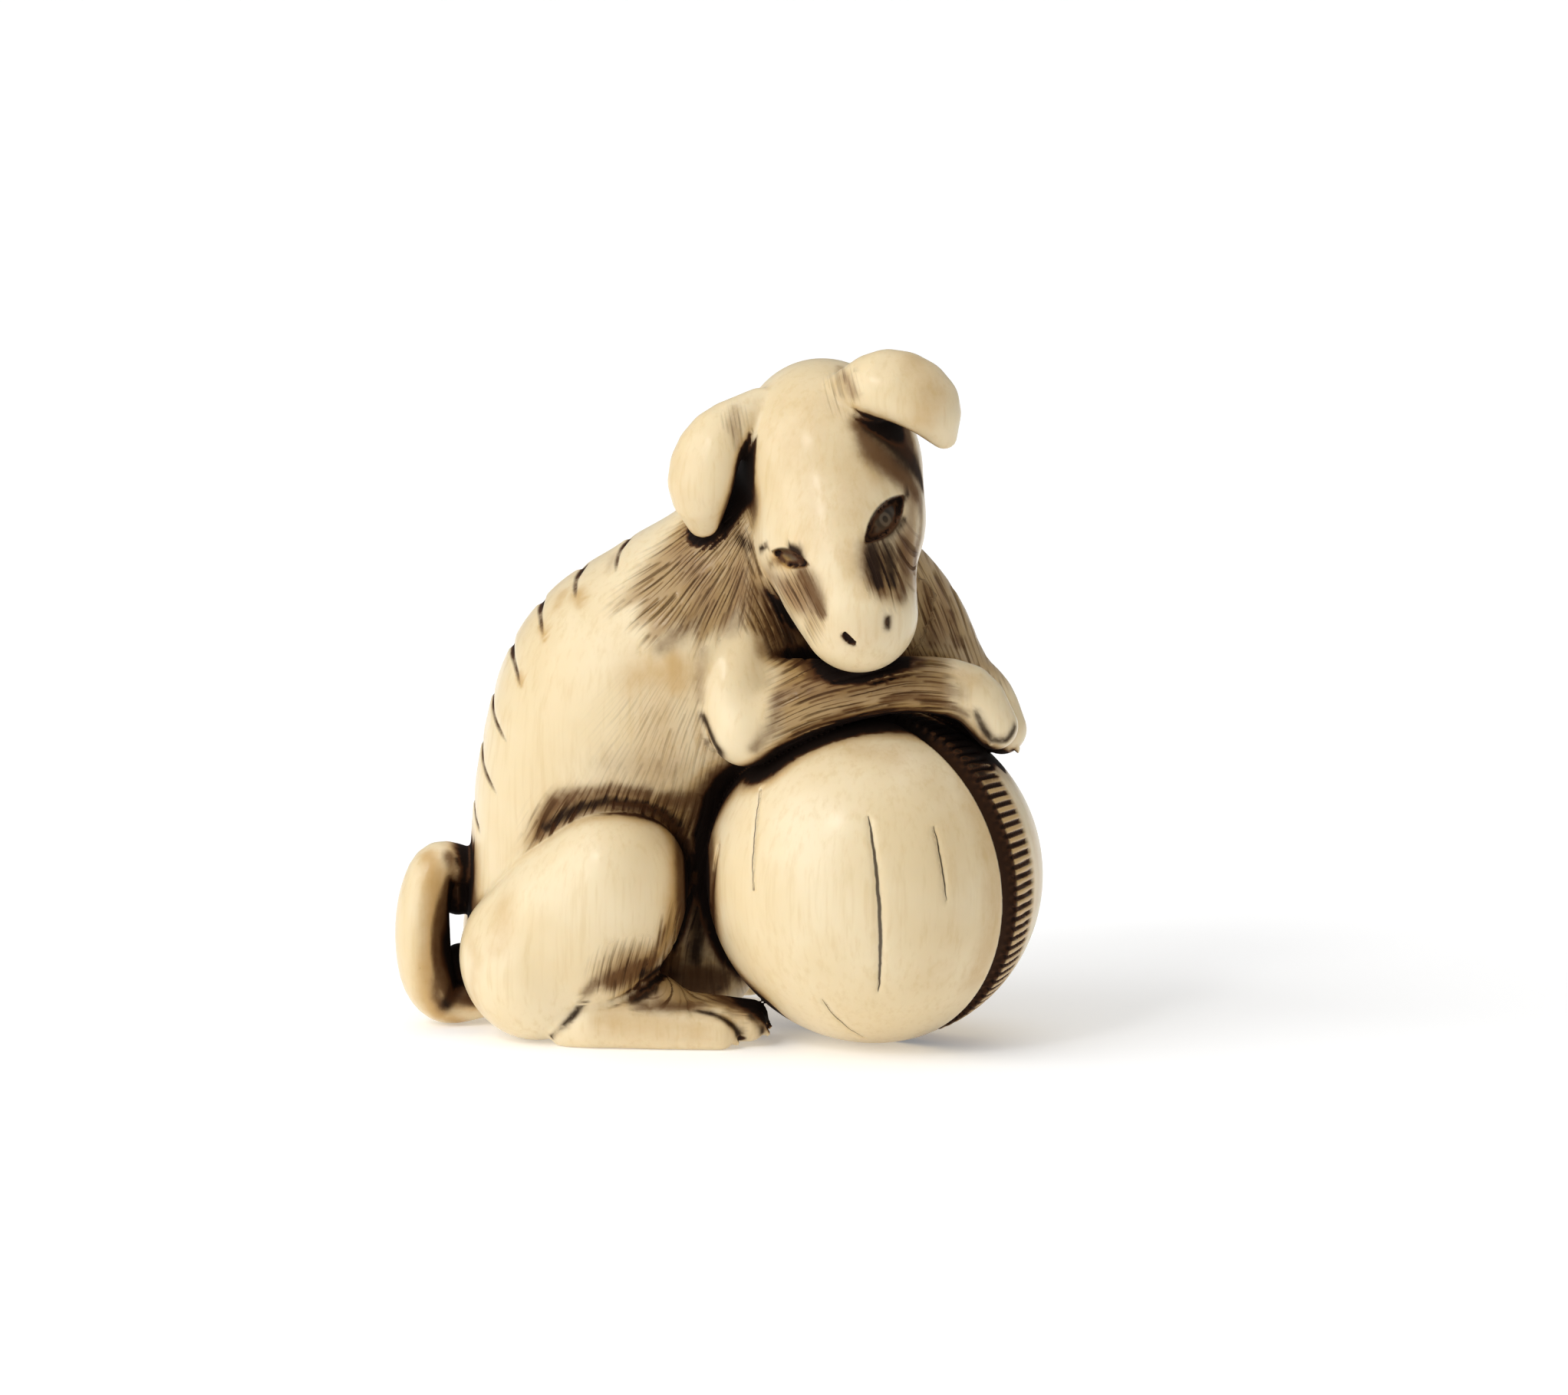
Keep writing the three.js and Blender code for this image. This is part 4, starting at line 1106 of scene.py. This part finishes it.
# Ink, and painted shade: black under the right ear, between the near knee and the ball, and under
# the near forearm.
ink_and_shade = b.add("Attribute", attribute_name="ink_and_shade").outputs["Fac"]
colour = b.mix(feathered(ink_and_shade, 0.15, 0.95, 0.95), colour, tone(34, 19, 10))

# Stitches of the lacing.
arc, h, on_ball = b.split(attribute("lacing"))
aside = b.calc("DIVIDE", arc, STITCH_PITCH)
aside = b.calc("ABSOLUTE", b.minus(b.calc("FRACT", aside), 0.5))
tick = b.times(b.ramp(aside, 0.18, 0.32, 1.0, 0.0), b.ramp(h, -2.9, -2.2))
tick = b.times(tick, b.ramp(h, -0.4, 0.0, 1.0, 0.0))
tick = b.times(b.most(tick, b.ramp(b.calc("ABSOLUTE", h), 0.6, 0.8, 1.0, 0.0)), on_ball)
colour = b.mix(tick, colour, tone(26, 16, 10))


CRACK_SIZES = ("Top X", "Top Z", "Foot X", "Foot Z", "Bow", "Width")


def crack_group():
    """A long narrow gap that tapers to both ends, drawn by height and side to side."""
    takes = [("Place", "Vector")] + [(size, "Float") for size in CRACK_SIZES]
    group, b, given, out = new_group("age_crack", takes, (("Crack", "Float"),))
    x, y, z = b.split(given["Place"])
    drop = b.minus(given["Top Z"], given["Foot Z"])
    t = b.calc("DIVIDE", b.minus(z, given["Foot Z"]), drop, clamp=True)
    belly = b.times(b.times(t, b.minus(1.0, t)), 4.0)
    lean = b.times(b.minus(given["Top X"], given["Foot X"]), t)
    middle = b.plus(b.plus(given["Foot X"], lean), b.times(given["Bow"], belly))
    wander = b.times(b.minus(b.noise(given["Place"], 1.3, 2), 0.5), 0.14)
    off = b.calc("ABSOLUTE", b.minus(b.plus(x, wander), middle))
    half = b.times(b.times(b.calc("SQRT", belly), given["Width"]), 0.5)
    inside = b.calc("DIVIDE", off, b.most(half, 0.002))
    crack = b.times(b.ramp(inside, 0.6, 1.4, 1.0, 0.0), b.ramp(belly, 0.0, 0.05))
    b.wire(crack, out["Crack"])
    return group


AGE_CRACK = crack_group()
to_mm = {0: place, 1: (1 / MM, 1 / MM, 1 / MM), 2: tuple(-TO_FRAME)}
in_mm = b.add("VectorMath", to_mm, operation="MULTIPLY_ADD").outputs[0]
front = b.ramp(b.split(in_mm)[1], BALL_MIDDLE[1] - 2, BALL_MIDDLE[1] - 3, 0.0, 1.0)
gaps = 0.0
for values in CRACKS:
    group = b.add("Group", node_tree=AGE_CRACK)
    b.wire(in_mm, group.inputs["Place"])
    for size, value in zip(CRACK_SIZES, values):
        b.wire(value, group.inputs[size])
    gaps = b.most(gaps, group.outputs["Crack"])
gaps = b.times(b.times(gaps, front), on_ball)
colour = b.mix(b.times(gaps, 0.9), colour, tone(52, 38, 26))

# Stain in the cuts, and painted shade in the deeper hollows and the gaps between forms: brown, then
# near black.
colour = b.mix(b.ramp(recess_stain_and_shade, 0.12, 0.62), colour, tone(74, 43, 19))
colour = b.mix(b.ramp(recess_stain_and_shade, 0.45, 1.0), colour, tone(24, 13, 7))
b.wire(colour, shader.inputs["Base Color"])

deep = b.most(b.most(coarse, recess_stain_and_shade), b.most(b.times(fine, 0.6), ink_and_shade))
deep = b.most(deep, b.times(b.most(umber_and_shade, plum), 0.7))
b.wire(b.ramp(deep, 0.1, 0.9, 0.35, 0.8), shader.inputs["Roughness"])
b.wire(b.ramp(deep, 0.1, 0.6, 0.45, 0.0), shader.inputs["Coat Weight"])
height = b.calc("MULTIPLY_ADD", fine, -0.5, b.times(grain, 0.03))
height = b.calc("MULTIPLY_ADD", coarse, -1.0, height)
bump = b.add("Bump", {"Height": height, "Distance": 0.00005, "Strength": 0.6})
b.wire(bump.outputs[0], shader.inputs["Normal"])
shader.inputs["IOR"].default_value = 1.54
shader.inputs["Subsurface Weight"].default_value = 0.2
shader.inputs["Subsurface Radius"].default_value = (1, 0.6, 0.35)
shader.inputs["Subsurface Scale"].default_value = 0.0006
shader.inputs["Specular IOR Level"].default_value = 0.12
shader.inputs["Coat Roughness"].default_value = 0.22
thinned.materials.append(ivory)

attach(carved, "root")
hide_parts("puppy_on_ball")


# ---- Table and light -----------------------------------------------------------------------
# A sheet of white paper on the table, a broad soft light from the upper left, a weaker one
# from above, and a small softbox that the polish catches.
TABLE = 6.0  # half of its side, in metres
floor_mesh = bpy.data.meshes.new("table")
corners = [(x * TABLE, y * TABLE, 0) for x, y in ((-1, -1), (1, -1), (1, 1), (-1, 1))]
floor_mesh.from_pydata(corners, [], [(0, 1, 2, 3)])
table = bpy.data.objects.new("table", floor_mesh)
bpy.context.scene.collection.objects.link(table)
paper = bpy.data.materials.new("white_paper")
paper.use_nodes = True
sheet = paper.node_tree.nodes["Principled BSDF"]
sheet.inputs["Base Color"].default_value = (0.93, 0.93, 0.93, 1)
sheet.inputs["Roughness"].default_value = 1.0
sheet.inputs["Specular IOR Level"].default_value = 0.0
sheet.inputs["Emission Color"].default_value = (1, 1, 1, 1)
sheet.inputs["Emission Strength"].default_value = 0.24
floor_mesh.materials.append(paper)

world = bpy.data.worlds.new("studio")
world.use_nodes = True
world.node_tree.nodes["Background"].inputs["Color"].default_value = (1, 1, 1, 1)
world.node_tree.nodes["Background"].inputs["Strength"].default_value = 0.29
bpy.context.scene.world = world


def lamp(name, kind, place, power, **settings):
    light = bpy.data.lights.new(name, kind)
    light.energy = power
    for setting, value in settings.items():
        setattr(light, setting, value)
    made = bpy.data.objects.new(name, light)
    bpy.context.scene.collection.objects.link(made)
    made.location = place
    made.rotation_euler = Vector(aim - np.array(place)).to_track_quat("-Z", "Y").to_euler()


lamp("broad_light", "SUN", (-0.9, -0.5, 0.55), 1.65, angle=math.radians(60))
lamp("sky_light", "SUN", (-0.1, 0.0, 1.0), 0.95, angle=math.radians(70))
lamp("softbox", "AREA", (-0.35, -0.5, 0.6), 0.6, size=0.12)
